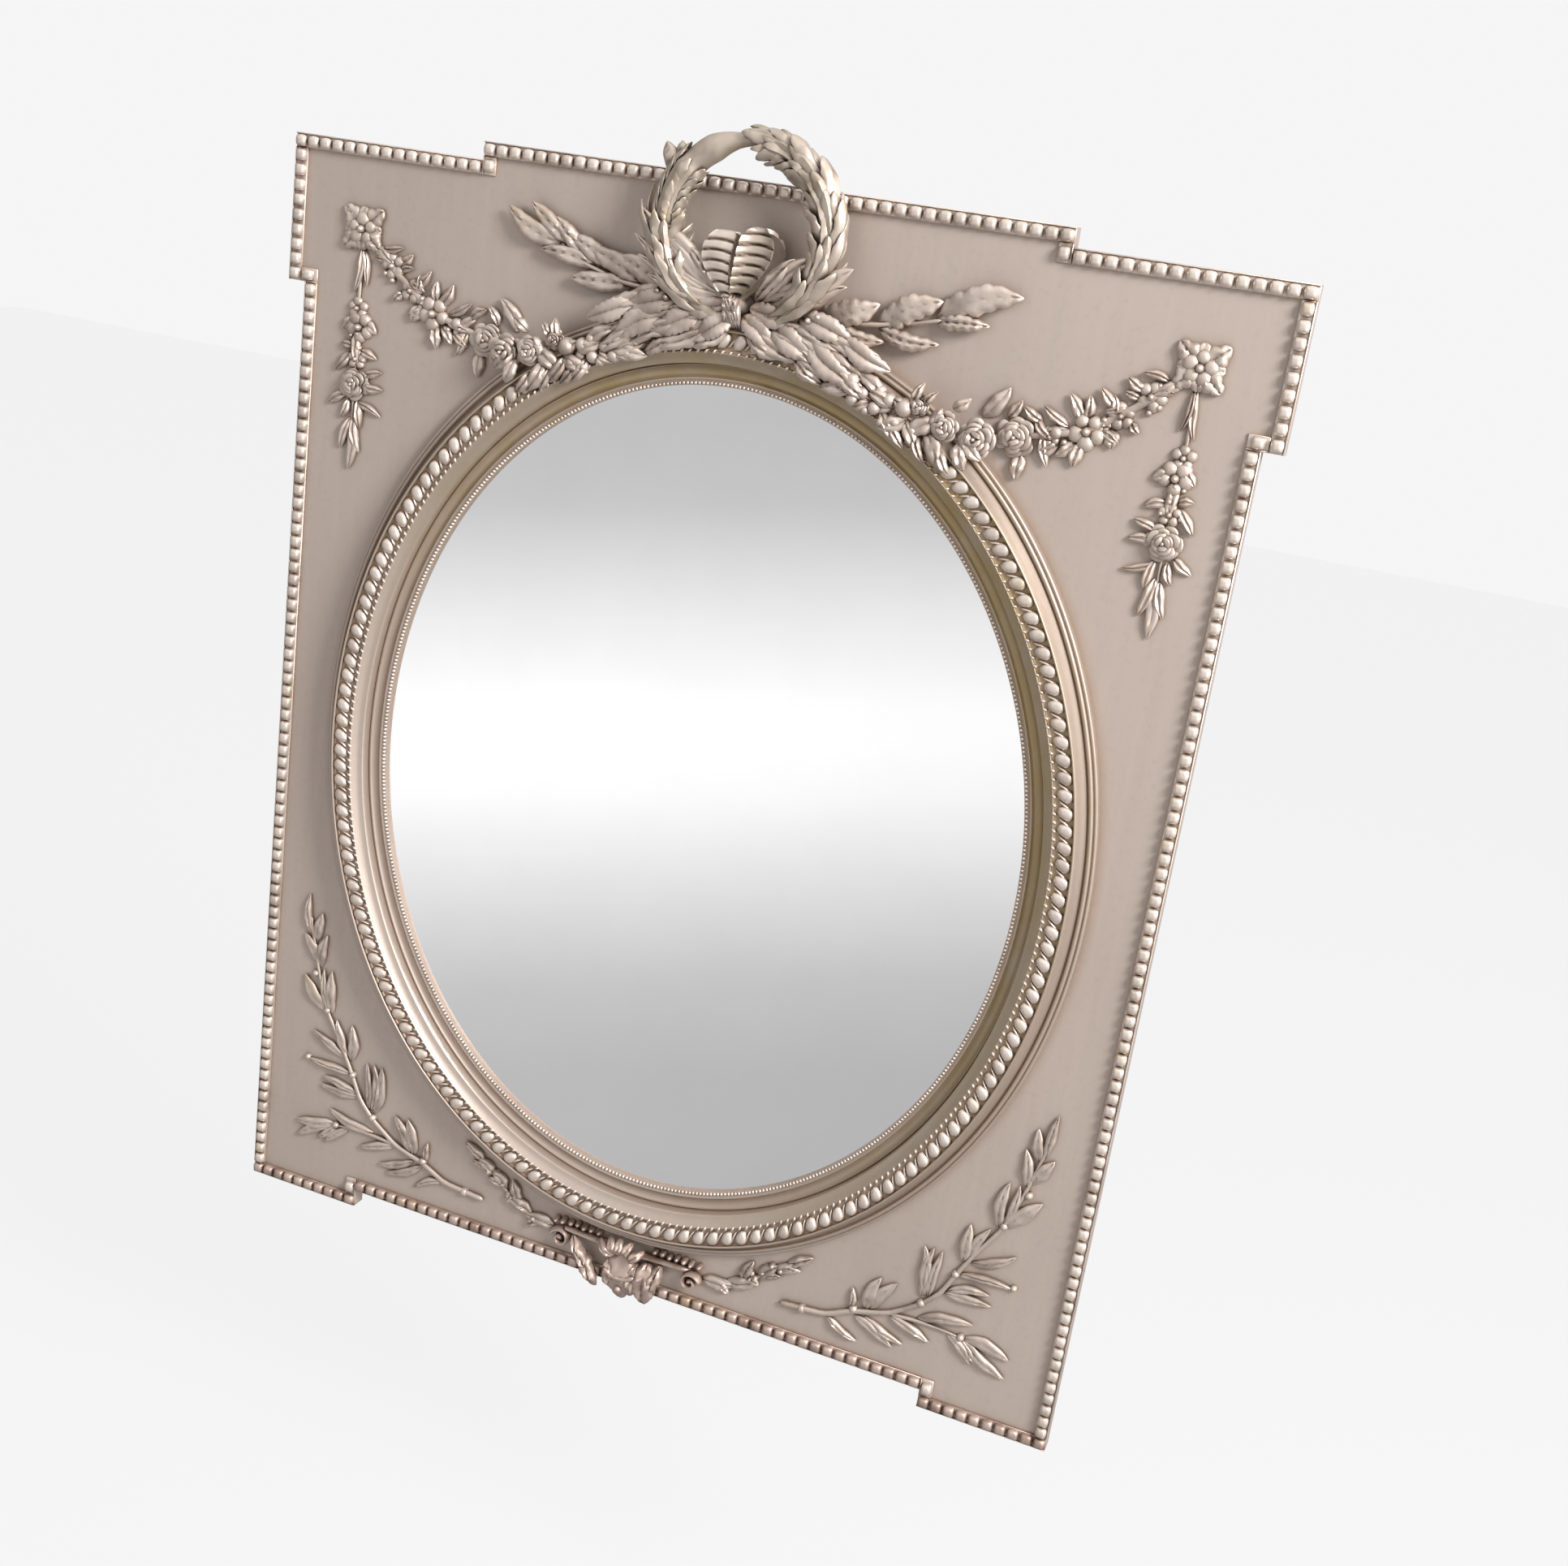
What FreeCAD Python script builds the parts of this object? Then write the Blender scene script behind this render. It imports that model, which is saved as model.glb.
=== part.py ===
"""Trumeau mirror: a painted board with an oval looking glass and applied gilt ornament.

Every length is in millimetres. Heights are measured from the underside of the two feet,
and each piece's Placement then brings the middle of the top rail's back, where the mirror
meets the wall, to the origin. X runs to the viewer's right, Z up, and the front faces -Y.
"""
import FreeCAD, Part
import math
import os

import Sketcher
from FreeCAD import Placement, Rotation, Vector

doc = FreeCAD.newDocument("trumeau_mirror")
sheet = doc.addObject("Spreadsheet::Sheet", "dims")

SIZES = [
    # board
    ("body_half", 425, "half the board's width below the ears"),
    ("ear_out", 17, "how far each ear stands out past the body"),
    ("ear_under", 901, "height of the ears' underside"),
    ("ear_top", 1026, "height of the ears' top edge"),
    ("crest_half", 256, "half the width of the raised middle of the top edge"),
    ("crest_top", 1041, "height of the raised middle of the top edge"),
    ("foot_inner", 303, "distance from the middle to each foot's inner edge"),
    ("foot_height", 18, "height of the feet below the bottom edge"),
    ("board_thick", 12, "thickness of the board"),
    # battens behind the board
    ("batten_thick", 18, "thickness of the four battens"),
    ("batten_wide", 60, "width of the four battens"),
    ("stile_out", 405, "distance from the middle to each stile's outer edge"),
    ("rail_low", 30, "height of the bottom rail's lower edge"),
    ("rail_high", 1000, "height of the top rail's upper edge"),
    # oval
    ("oval_middle", 506, "height of the oval's centre"),
    ("sight_half", 306, "half the width of the glass that shows"),
    ("sight_tall", 371, "half the height of the glass that shows"),
    ("lip", 6, "how far the moulding covers the glass all round"),
    ("glass_gap", 1, "gap round the glass in the board's opening"),
    ("glass_thick", 4, "thickness of the glass"),
    ("cove_out", 18, "width of the inner moulding"),
    ("slope_out", 28.6, "sight edge to the inside of the egg channel"),
    ("channel_out", 45, "sight edge to the outside of the egg channel"),
    ("ridge_out", 47, "sight edge to the outside of the crest"),
    ("foot_out", 54, "sight edge to the foot of the outer slope"),
    ("base_out", 62, "sight edge to the outside of the oval moulding"),
    ("cove_high", 5, "height of the inner moulding's outer edge"),
    ("cove_low", 2.8, "height of the bottom of the cove"),
    ("lip_high", 4.2, "height of the moulding under the fine beading"),
    ("step_high", 15, "height of the step beside the inner moulding"),
    ("slope_high", 21, "height of the inside of the egg channel"),
    ("channel_floor", 18, "height of the egg channel's floor"),
    ("crest_high", 24, "height of the crest outside the eggs"),
    ("base_high", 12, "height of the outer of the two base ridges"),
    ("base_low", 9, "height of the groove between the base ridges"),
    ("bead_radius", 1.7, "radius of the fine beading at the sight edge"),
    ("egg_pitch", 14.7, "distance from one egg to the next"),
    ("egg_wide", 11.4, "width of an egg"),
    ("egg_margin", 0.8, "gap from an egg's ends to the channel's sides"),
    # pearl strips
    ("strip_wide", 12, "width of the pearl strips"),
    ("strip_high", 3, "height of the strip under the pearls"),
    ("pearl_pitch", 12, "distance from one pearl to the next"),
    ("pearl_radius", 5.6, "radius of a pearl"),
    # hangers
    ("hanger_side", 300, "distance from the middle to each hanger"),
    ("hanger_line", 905, "height of the hanger rings' pins"),
    ("strap_half", 7, "half the width of a hanger's strap"),
    ("strap_long", 44, "length of a hanger's strap below the pin"),
    ("strap_thick", 1.5, "thickness of a hanger's strap"),
    ("hole_high", 11, "pin to the upper screw hole of a strap"),
    ("hole_low", 36, "pin to the lower screw hole of a strap"),
    ("pin_off", 3.5, "distance of the ring's pin from the board"),
    ("eye_radius", 3.2, "outer radius of the strap's rolled eye"),
    ("wire_radius", 1.5, "radius of the ring's wire"),
    ("wire_play", 0.08, "radial play of the ring's wire in the eye"),
    ("ring_half", 11, "half the width of the hanger ring, to the wire's middle"),
    ("ring_corner", 3, "radius of the ring's two corners"),
    ("ring_leg", 5, "length of the ring's straight legs below its corners"),
    # turn buttons and screws
    ("button_long", 36, "length of a turn button"),
    ("button_half", 6, "half the width of a turn button"),
    ("button_thick", 2.5, "thickness of a turn button"),
    ("button_clip", 3, "size of a turn button's clipped corners"),
    ("button_tail", 9, "turn button's pin to its outer end"),
    ("button_lift", 0.3, "gap under a turn button"),
    ("button_play", 0.1, "gap between a turn button and its screw's head"),
    ("shank_radius", 1.6, "radius of the screws' shanks"),
    ("shank_play", 0.08, "radial play of a screw in a turn button or strap"),
    ("shank_bite", 7, "how deep the screws go into the board"),
    ("head_radius", 3.2, "radius of the screws' heads"),
    ("head_high", 1.8, "height of the screws' heads"),
    # applied ornament
    ("seam", 0.3, "gap between ornaments that lie against each other"),
    ("rosette_in", 57, "body's side edge to a rosette's centre"),
    ("rosette_up", 53, "ears' underside to a rosette's centre"),
    ("wreath_drop", 43, "crest's top edge to the wreath's centre"),
    ("wreath_radius", 69, "radius of the wreath, to the middle of its rope"),
    ("rope_radius", 13, "radius of the wreath's rope of leaves"),
    ("rope_off", 27, "distance of the rope's middle from the board"),
    ("knot_drop", 99, "crest's top edge to the ribbon's knot"),
    ("loop_top", 59, "height of the ribbon loops' tops above the knot"),
    ("loop_deep", 22, "width of the ribbon, front to back"),
    ("loop_off", 15, "distance of the ribbon loops' back from the board"),
    ("ribbon_thick", 3, "thickness of the ribbon"),
    ("knot_high", 42, "height of the ribbon's knot"),
    ("knot_radius", 13, "radius of the ribbon's knot"),
    ("leaf_rise", 5, "height of the leaves of rosettes, drops, garlands and branches"),
    ("spray_rise", 7, "height of the leaves of the laurel sprays"),
    ("crest_rise", 9, "height of the leaves on top of the oval"),
    ("sprig_rise", 6, "height of the leaves of the bottom sprigs"),
    ("cartouche_rise", 16, "height of the cartouche's leaves"),
]

size = {}
for row, (alias, value, note) in enumerate(SIZES, start=1):
    sheet.set("A%d" % row, note)
    sheet.set("B%d" % row, str(value))
    sheet.setAlias("B%d" % row, alias)
    size[alias] = float(value)
doc.recompute()

nodes = {}


# ---------------------------------------------------------------- sums of sizes

def total(words):
    """The length of a sum of sizes, such as 'body_half + ear_out'."""
    length = 0.0
    sign = 1.0
    for word in words.split():
        if word in ("+", "-"):
            sign = 1.0 if word == "+" else -1.0
        elif word in size:
            length += sign * size[word]
        else:
            length += sign * float(word)
    return length


def formula(words):
    """The same sum as an expression on the sheet."""
    return " ".join("dims." + word if word in size else word for word in words.split())


def mirrored(words):
    """The same sum on the other side of the middle."""
    swapped = words.replace("+", "#").replace("-", "+").replace("#", "-")
    return "0 - " + swapped


HANG_LINE = size["rail_high"] - size["batten_wide"] / 2
HANG_FORMULA = "-(dims.rail_high - dims.batten_wide / 2)"
BOARD_BACK = -total("batten_thick")
BOARD_FRONT = -total("batten_thick + board_thick")
FRONT_FORMULA = "-(dims.batten_thick + dims.board_thick)"
BACK_FORMULA = "-dims.batten_thick"


# ---------------------------------------------------------------- bodies and sketches

def keep(name, thing):
    """Name a finished sub-part and list it for writing."""
    thing.Label = name
    nodes[name] = thing
    return thing


def new_body(name, front_to_back="0"):
    """A body whose heights start at the feet, with its XZ plane at the given depth."""
    body = doc.addObject("PartDesign::Body", name + "_body")
    body.setExpression("Placement.Base.y", front_to_back)
    body.setExpression("Placement.Base.z", HANG_FORMULA)
    return body


def new_sketch(body, name, role, offset="0"):
    """A sketch on one of the body's own planes, moved off it along its normal."""
    sketch = body.newObject("Sketcher::SketchObject", name)
    for feature in body.Origin.OriginFeatures:
        if feature.Role == role:
            sketch.AttachmentSupport = [(feature, "")]
    sketch.MapMode = "FlatFace"
    sketch.setExpression("AttachmentOffset.Base.z", formula(offset))
    return sketch


def place_point(sketch, geometry, end, across, up):
    """Hold one end of a sketch line at a sum of sizes from the sketch's origin."""
    for kind, words in (("DistanceX", across), ("DistanceY", up)):
        number = sketch.addConstraint(
            Sketcher.Constraint(kind, -1, 1, geometry, end, total(words)))
        sketch.setExpression("Constraints[%d]" % number, formula(words))


def outline(sketch, corners):
    """A closed outline of straight lines through corners given as sums of sizes."""
    points = [Vector(total(across), total(up), 0) for across, up in corners]
    count = len(points)
    for index in range(count):
        line = Part.LineSegment(points[index], points[(index + 1) % count])
        sketch.addGeometry(line, False)
    for index in range(count):
        following = (index + 1) % count
        sketch.addConstraint(Sketcher.Constraint("Coincident", index, 2, following, 1))
        place_point(sketch, index, 1, *corners[index])


def circle(sketch, radius, across="0", up="0"):
    """A circle whose radius and centre are sums of sizes."""
    middle = Vector(total(across), total(up), 0)
    number = sketch.addGeometry(Part.Circle(middle, Vector(0, 0, 1), total(radius)), False)
    bound = sketch.addConstraint(Sketcher.Constraint("Radius", number, total(radius)))
    sketch.setExpression("Constraints[%d]" % bound, formula(radius))
    place_point(sketch, number, 3, across, up)


def oval(sketch, margin):
    """An upright ellipse about the oval's centre, margin outside the sight edge."""
    half = total("sight_half + " + margin)
    tall = total("sight_tall + " + margin)
    middle = Vector(0, size["oval_middle"], 0)
    top = middle + Vector(0, tall, 0)
    side = middle + Vector(half, 0, 0)
    ellipse = sketch.addGeometry(Part.Ellipse(top, side, middle), False)
    sketch.exposeInternalGeometry(ellipse)
    long_line = ellipse + 1
    short_line = ellipse + 2
    for line, words in ((long_line, "sight_tall + "), (short_line, "sight_half + ")):
        bound = sketch.addConstraint(
            Sketcher.Constraint("Distance", line, 2 * total(words + margin)))
        sketch.setExpression("Constraints[%d]" % bound, "2 * (%s)" % formula(words + margin))
    sketch.addConstraint(Sketcher.Constraint("Vertical", long_line))
    place_point(sketch, ellipse, 3, "0", "oval_middle")


def pad(body, sketch, words, backward=False):
    """Raise a sketch by a sum of sizes: towards the front, or backward."""
    feature = body.newObject("PartDesign::Pad", sketch.Name + "_pad")
    feature.Profile = sketch
    feature.setExpression("Length", formula(words))
    feature.Reversed = backward
    body.Tip = feature
    return feature


def pocket(body, sketch, backward=False, symmetric=False):
    """Cut a sketch right through the body, and see that it removed something."""
    doc.recompute()
    before = body.Shape.Volume
    feature = body.newObject("PartDesign::Pocket", sketch.Name + "_cut")
    feature.Profile = sketch
    feature.Type = 1
    feature.Reversed = backward
    feature.Midplane = symmetric
    body.Tip = feature
    doc.recompute()
    if body.Shape.Volume > before - 0.001:
        raise ValueError("the cut %s removes nothing" % sketch.Name)
    return feature


def swept_round_oval(name, depth, corners):
    """A moulding: a profile of (out, high) corners swept round the sight edge.

    The profile stands on the upright plane through the middle, above the oval, where
    the path runs square to it.
    """
    body = new_body(name, depth)
    path = new_sketch(body, name + "_path", "XZ_Plane")
    oval(path, "0")
    profile = new_sketch(body, name + "_profile", "YZ_Plane")
    top = "oval_middle + sight_tall + "
    outline(profile, [("0 - " + high, top + out) for out, high in corners])
    sweep = body.newObject("PartDesign::AdditivePipe", name + "_sweep")
    sweep.Profile = profile
    sweep.Spine = (path, ["Edge1"])
    body.Tip = sweep
    return keep(name, body)


# ---------------------------------------------------------------- board and battens

def face_panel():
    """The shaped board: ears, raised crest, feet, and the oval opening for the glass."""
    body = new_body("face_panel", BACK_FORMULA)
    ear = "body_half + ear_out"
    right = [
        ("foot_inner", "foot_height"), ("foot_inner", "0"), ("body_half", "0"),
        ("body_half", "ear_under"), (ear, "ear_under"), (ear, "ear_top"),
        ("crest_half", "ear_top"), ("crest_half", "crest_top"),
    ]
    left = [(mirrored(across), up) for across, up in reversed(right)]
    edge = new_sketch(body, "panel_edge", "XZ_Plane")
    outline(edge, right + left)
    pad(body, edge, "board_thick")
    opening = new_sketch(body, "panel_opening", "XZ_Plane")
    oval(opening, "lip")
    pocket(body, opening, symmetric=True)
    keep("face_panel", body)


def batten(name, whole, whole_at_front, between):
    """A batten with half-lapped ends.

    One half of its thickness runs the whole length, the other half only between the
    two battens that it crosses.
    """
    body = new_body(name, "0")
    halves = ((whole, whole_at_front), (between, not whole_at_front))
    for number, ((low_x, high_x, low_z, high_z), at_front) in enumerate(halves):
        face = new_sketch(body, "%s_half_%d" % (name, number), "XZ_Plane")
        if at_front:
            face.setExpression("AttachmentOffset.Base.z", "dims.batten_thick / 2")
        outline(face, [(low_x, low_z), (high_x, low_z), (high_x, high_z), (low_x, high_z)])
        half = pad(body, face, "batten_thick")
        half.setExpression("Length", "dims.batten_thick / 2")
    keep(name, body)


def battens():
    """Two rails and two stiles, glued to the board's back and half-lapped at the corners."""
    left = "0 - stile_out"
    left_in = "0 - stile_out + batten_wide"
    right = "stile_out"
    right_in = "stile_out - batten_wide"
    low_in = "rail_low + batten_wide"
    high_in = "rail_high - batten_wide"
    for name, low, high in (("bottom_rail", "rail_low", low_in),
                            ("top_rail", high_in, "rail_high")):
        batten(name, (left, right, low, high), False, (left_in, right_in, low, high))
    for name, inner, outer in (("left_stile", left, left_in),
                               ("right_stile", right_in, right)):
        batten(name, (inner, outer, "rail_low", "rail_high"), True,
               (inner, outer, low_in, high_in))


# ---------------------------------------------------------------- oval glass and mouldings

def oval_sheet(name, depth, thick):
    """A flat oval sheet that fits the board's opening."""
    body = new_body(name, depth)
    edge = new_sketch(body, name + "_edge", "XZ_Plane")
    oval(edge, "lip - glass_gap")
    pad(body, edge, thick)
    keep(name, body)


def glass_and_backing():
    """The looking glass against the moulding's lip, and the board that backs it."""
    oval_sheet("mirror_glass", BACK_FORMULA + " - (dims.board_thick - dims.glass_thick)",
               "glass_thick")
    oval_sheet("backing_board", BACK_FORMULA, "board_thick - glass_thick")


def oval_mouldings():
    """The inner cove moulding, the main oval moulding round it, and the fine beading."""
    swept_round_oval("sight_moulding", FRONT_FORMULA, [
        ("0", "0"), ("0", "lip_high"), ("bead_radius + bead_radius", "lip_high"),
        ("lip", "cove_high"), ("lip + 1", "cove_high"), ("lip + 3", "cove_low"),
        ("cove_out - 5", "cove_low"), ("cove_out - 2", "cove_high"),
        ("cove_out", "cove_high"), ("cove_out", "0"),
    ])
    swept_round_oval("oval_moulding", FRONT_FORMULA, [
        ("cove_out", "0"), ("cove_out", "step_high"), ("slope_out", "slope_high"),
        ("slope_out", "channel_floor"), ("channel_out", "channel_floor"),
        ("channel_out", "crest_high"), ("ridge_out", "crest_high"),
        ("foot_out", "base_low"), ("foot_out + 1", "base_high"),
        ("foot_out + 4", "base_high"), ("foot_out + 4.6", "base_low"),
        ("foot_out + 5.4", "base_low + 1"), ("base_out", "base_low"), ("base_out", "0"),
    ])
    body = new_body("sight_beading", FRONT_FORMULA + " - dims.lip_high")
    path = new_sketch(body, "beading_path", "XZ_Plane")
    oval(path, "bead_radius")
    profile = new_sketch(body, "beading_profile", "YZ_Plane")
    middle = "oval_middle + sight_tall + bead_radius"
    outline(profile, [
        ("0", middle + " - bead_radius"), ("0 - bead_radius", middle + " - 0.8"),
        ("0 - bead_radius", middle + " + 0.8"), ("0", middle + " + bead_radius"),
    ])
    sweep = body.newObject("PartDesign::AdditivePipe", "beading_sweep")
    sweep.Profile = profile
    sweep.Spine = (path, ["Edge1"])
    body.Tip = sweep
    keep("sight_beading", body)


# ---------------------------------------------------------------- pearl strips

def pearl_strip(name, low_x, high_x, low_z, high_z):
    """One straight strip with a row of pearls along its longer side."""
    body = new_body(name, FRONT_FORMULA)
    face = new_sketch(body, name + "_face", "XZ_Plane")
    outline(face, [(low_x, low_z), (high_x, low_z), (high_x, high_z), (low_x, high_z)])
    pad(body, face, "strip_high")
    wide = total(high_x) - total(low_x)
    tall = total(high_z) - total(low_z)
    lying = wide >= tall
    run = max(wide, tall)
    count = max(1, int(run / size["pearl_pitch"]))
    step = run / count
    first = step / 2
    half = size["strip_wide"] / 2
    start = Vector(total(low_x), total(low_z), 0)
    start += Vector(first, half, 0) if lying else Vector(half, first, 0)
    pearl = body.newObject("PartDesign::AdditiveSphere", name + "_pearl")
    pearl.AttachmentSupport = face.AttachmentSupport
    pearl.MapMode = "FlatFace"
    pearl.AttachmentOffset = Placement(start, Rotation())
    pearl.setExpression("AttachmentOffset.Base.z", "dims.strip_high")
    pearl.setExpression("Radius", "dims.pearl_radius")
    pearl.Angle1 = 0
    body.Tip = pearl
    if count > 1:
        row = body.newObject("PartDesign::LinearPattern", name + "_row")
        row.Originals = [pearl]
        row.Direction = (face, ["H_Axis" if lying else "V_Axis"])
        row.Length = run - step
        row.Occurrences = count
        body.Tip = row
    return body


def pearl_pair(name, low_x, high_x, low_z, high_z):
    """A strip on the right and its twin on the left, as two nodes."""
    right = pearl_strip("right_" + name, low_x, high_x, low_z, high_z)
    left = pearl_strip("left_" + name, mirrored(high_x), mirrored(low_x), low_z, high_z)
    keep("right_" + name, right)
    keep("left_" + name, left)


def pearl_strips():
    """The pearl border that follows every edge of the board."""
    ear = "body_half + ear_out"
    crest = pearl_strip("crest_pearls", "0 - crest_half", "crest_half",
                        "crest_top - strip_wide", "crest_top")
    keep("crest_pearls", crest)
    pearl_pair("crest_return_pearl", "crest_half - strip_wide", "crest_half",
               "ear_top - strip_wide", "crest_top - strip_wide")
    pearl_pair("ear_top_pearls", "crest_half", ear, "ear_top - strip_wide", "ear_top")
    pearl_pair("ear_side_pearls", ear + " - strip_wide", ear, "ear_under",
               "ear_top - strip_wide")
    pearl_pair("ear_under_pearl", "body_half - strip_wide", ear + " - strip_wide",
               "ear_under", "ear_under + strip_wide")
    pearl_pair("side_pearls", "body_half - strip_wide", "body_half", "strip_wide",
               "ear_under")
    pearl_pair("foot_pearls", "foot_inner", "body_half", "0", "strip_wide")
    pearl_pair("foot_return_pearl", "foot_inner", "foot_inner + strip_wide", "strip_wide",
               "foot_height + strip_wide")
    bottom = pearl_strip("bottom_pearls", "0 - foot_inner", "foot_inner", "foot_height",
                         "foot_height + strip_wide")
    keep("bottom_pearls", bottom)


# ---------------------------------------------------------------- hangers, buttons, screws

def place_at(thing, x, depth, height, turn=Rotation()):
    """Move a finished piece to a place given by its depth and its height above the feet."""
    thing.Placement = Placement(Vector(x, depth, height - HANG_LINE), turn)


def screw_shape(bite):
    """A pan-head screw that stands on the XZ plane: head behind it, shank in front."""
    head = Part.makeCylinder(size["head_radius"], size["head_high"],
                             Vector(0, 0, 0), Vector(0, 1, 0))
    shank = Part.makeCylinder(size["shank_radius"], bite, Vector(0, 0, 0), Vector(0, -1, 0))
    crown = head.makeFillet(size["head_high"] / 2, [head.Edges[0]])
    return crown.fuse(shank).removeSplitter()


STRAP_HOLES = ("hole_high", "hole_low")


def hanger_strap(name, x):
    """A folded strap: plate on the board, rolled eye at the top, and two screw holes."""
    body = doc.addObject("PartDesign::Body", name + "_body")
    plate = new_sketch(body, name + "_plate", "XZ_Plane")
    outline(plate, [
        ("0 - strap_half", "0 - strap_long"), ("strap_half", "0 - strap_long"),
        ("strap_half", "0"), ("0 - strap_half", "0"),
    ])
    pad(body, plate, "strap_thick", backward=True)
    eye = new_sketch(body, name + "_eye", "YZ_Plane")
    circle(eye, "eye_radius", "pin_off", "0")
    rolled = pad(body, eye, "strap_half + strap_half")
    rolled.Midplane = True
    bore = new_sketch(body, name + "_bore", "YZ_Plane")
    circle(bore, "wire_radius + wire_play", "pin_off", "0")
    pocket(body, bore, symmetric=True)
    holes = new_sketch(body, name + "_holes", "XZ_Plane")
    for drop in STRAP_HOLES:
        circle(holes, "shank_radius + shank_play", "0", "0 - " + drop)
    pocket(body, holes, symmetric=True)
    place_at(body, x, BOARD_BACK, size["hanger_line"])
    keep(name, body)


def hanger_ring(name, x):
    """A wire ring with a straight pin side, hanging down from the strap's eye."""
    half = size["ring_half"]
    corner = size["ring_corner"]
    drop = corner + size["ring_leg"]
    bevel = corner * math.sqrt(0.5)
    pin_end = half - corner
    points = {
        "start": Vector(0, 0, 0), "pin_right": Vector(pin_end, 0, 0),
        "bend_right": Vector(pin_end + bevel, 0, -corner + bevel),
        "leg_right": Vector(half, 0, -corner), "bow_right": Vector(half, 0, -drop),
        "bow": Vector(0, 0, -drop - half), "bow_left": Vector(-half, 0, -drop),
        "leg_left": Vector(-half, 0, -corner),
        "bend_left": Vector(-pin_end - bevel, 0, -corner + bevel),
        "pin_left": Vector(-pin_end, 0, 0),
    }

    def line(a, b):
        return Part.LineSegment(points[a], points[b]).toShape()

    def arc(a, b, c):
        return Part.Arc(points[a], points[b], points[c]).toShape()

    path = Part.Wire([
        line("start", "pin_right"), arc("pin_right", "bend_right", "leg_right"),
        line("leg_right", "bow_right"), arc("bow_right", "bow", "bow_left"),
        line("bow_left", "leg_left"), arc("leg_left", "bend_left", "pin_left"),
        line("pin_left", "start"),
    ])
    section = Part.Wire(Part.makeCircle(size["wire_radius"], Vector(0, 0, 0), Vector(1, 0, 0)))
    ring = doc.addObject("Part::Feature", name)
    ring.Shape = path.makePipeShell([section], True, False)
    place_at(ring, x, BOARD_BACK + size["pin_off"], size["hanger_line"])
    keep(name, ring)


def hangers():
    """Two hangers on the board's back below the top rail, with their screws."""
    screws = []
    pin = screw_shape(size["strap_thick"] + size["shank_bite"])
    for name, side in (("left", -1), ("right", 1)):
        x = side * size["hanger_side"]
        hanger_strap(name + "_hanger_strap", x)
        hanger_ring(name + "_hanger_ring", x)
        for drop in STRAP_HOLES:
            screw = pin.copy()
            screw.translate(Vector(x, 0, -size[drop]))
            screws.append(screw)
    group = doc.addObject("Part::Feature", "hanger_screws")
    group.Shape = Part.makeCompound(screws)
    place_at(group, 0, BOARD_BACK + size["strap_thick"], size["hanger_line"])
    keep("hanger_screws", group)


def turn_button(name):
    """An oblong plate with clipped corners that turns on a screw near one end."""
    body = doc.addObject("PartDesign::Body", name + "_body")
    face = new_sketch(body, name + "_face", "XZ_Plane")
    clip = " - button_clip"
    tip = "button_long - button_tail"
    tail = "0 - button_tail"
    right = [
        ("button_half - button_clip", tail), ("button_half", tail + " + button_clip"),
        ("button_half", tip + clip), ("button_half - button_clip", tip),
    ]
    outline(face, right + [(mirrored(across), up) for across, up in reversed(right)])
    pad(body, face, "button_thick", backward=True)
    hole = new_sketch(body, name + "_hole", "XZ_Plane")
    circle(hole, "shank_radius + shank_play")
    pocket(body, hole, symmetric=True)
    return keep(name, body)


BUTTON_ANGLES = (30, 90, 150, 210, 270, 330)


def turn_buttons():
    """Six turn buttons round the opening, which hold the backing board in, and screws."""
    margin = size["lip"] + size["button_tail"]
    lift = size["button_lift"]
    rise = lift + size["button_thick"] + size["button_play"]
    pin = screw_shape(rise + size["shank_bite"])
    screws = []
    for number, angle in enumerate(BUTTON_ANGLES, start=1):
        swing = math.radians(angle)
        half = size["sight_half"] + margin
        tall = size["sight_tall"] + margin
        x = half * math.cos(swing)
        up = tall * math.sin(swing)
        lean = math.degrees(math.atan2(-x / half ** 2, -up / tall ** 2))
        turn = Rotation(Vector(0, 1, 0), lean)
        button = turn_button("turn_button_%d" % number)
        place_at(button, x, BOARD_BACK + lift, size["oval_middle"] + up, turn)
        screw = pin.copy()
        screw.translate(Vector(x, 0, up))
        screws.append(screw)
    group = doc.addObject("Part::Feature", "turn_button_screws")
    group.Shape = Part.makeCompound(screws)
    place_at(group, 0, BOARD_BACK + rise, size["oval_middle"])
    keep("turn_button_screws", group)


# ---------------------------------------------------------------- carved shapes

def solid_of(points, faces):
    """A solid with flat faces, from its corners and the corner numbers of each face."""
    shells = []
    for face in faces:
        corners = [points[number] for number in face]
        shells.append(Part.Face(Part.makePolygon(corners + corners[:1])))
    return Part.Solid(Part.Shell(shells))


DOME_RINGS = ((1.0, 0.0), (0.86, 0.55), (0.45, 1.0))
EGG_SIDES = 8


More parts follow.
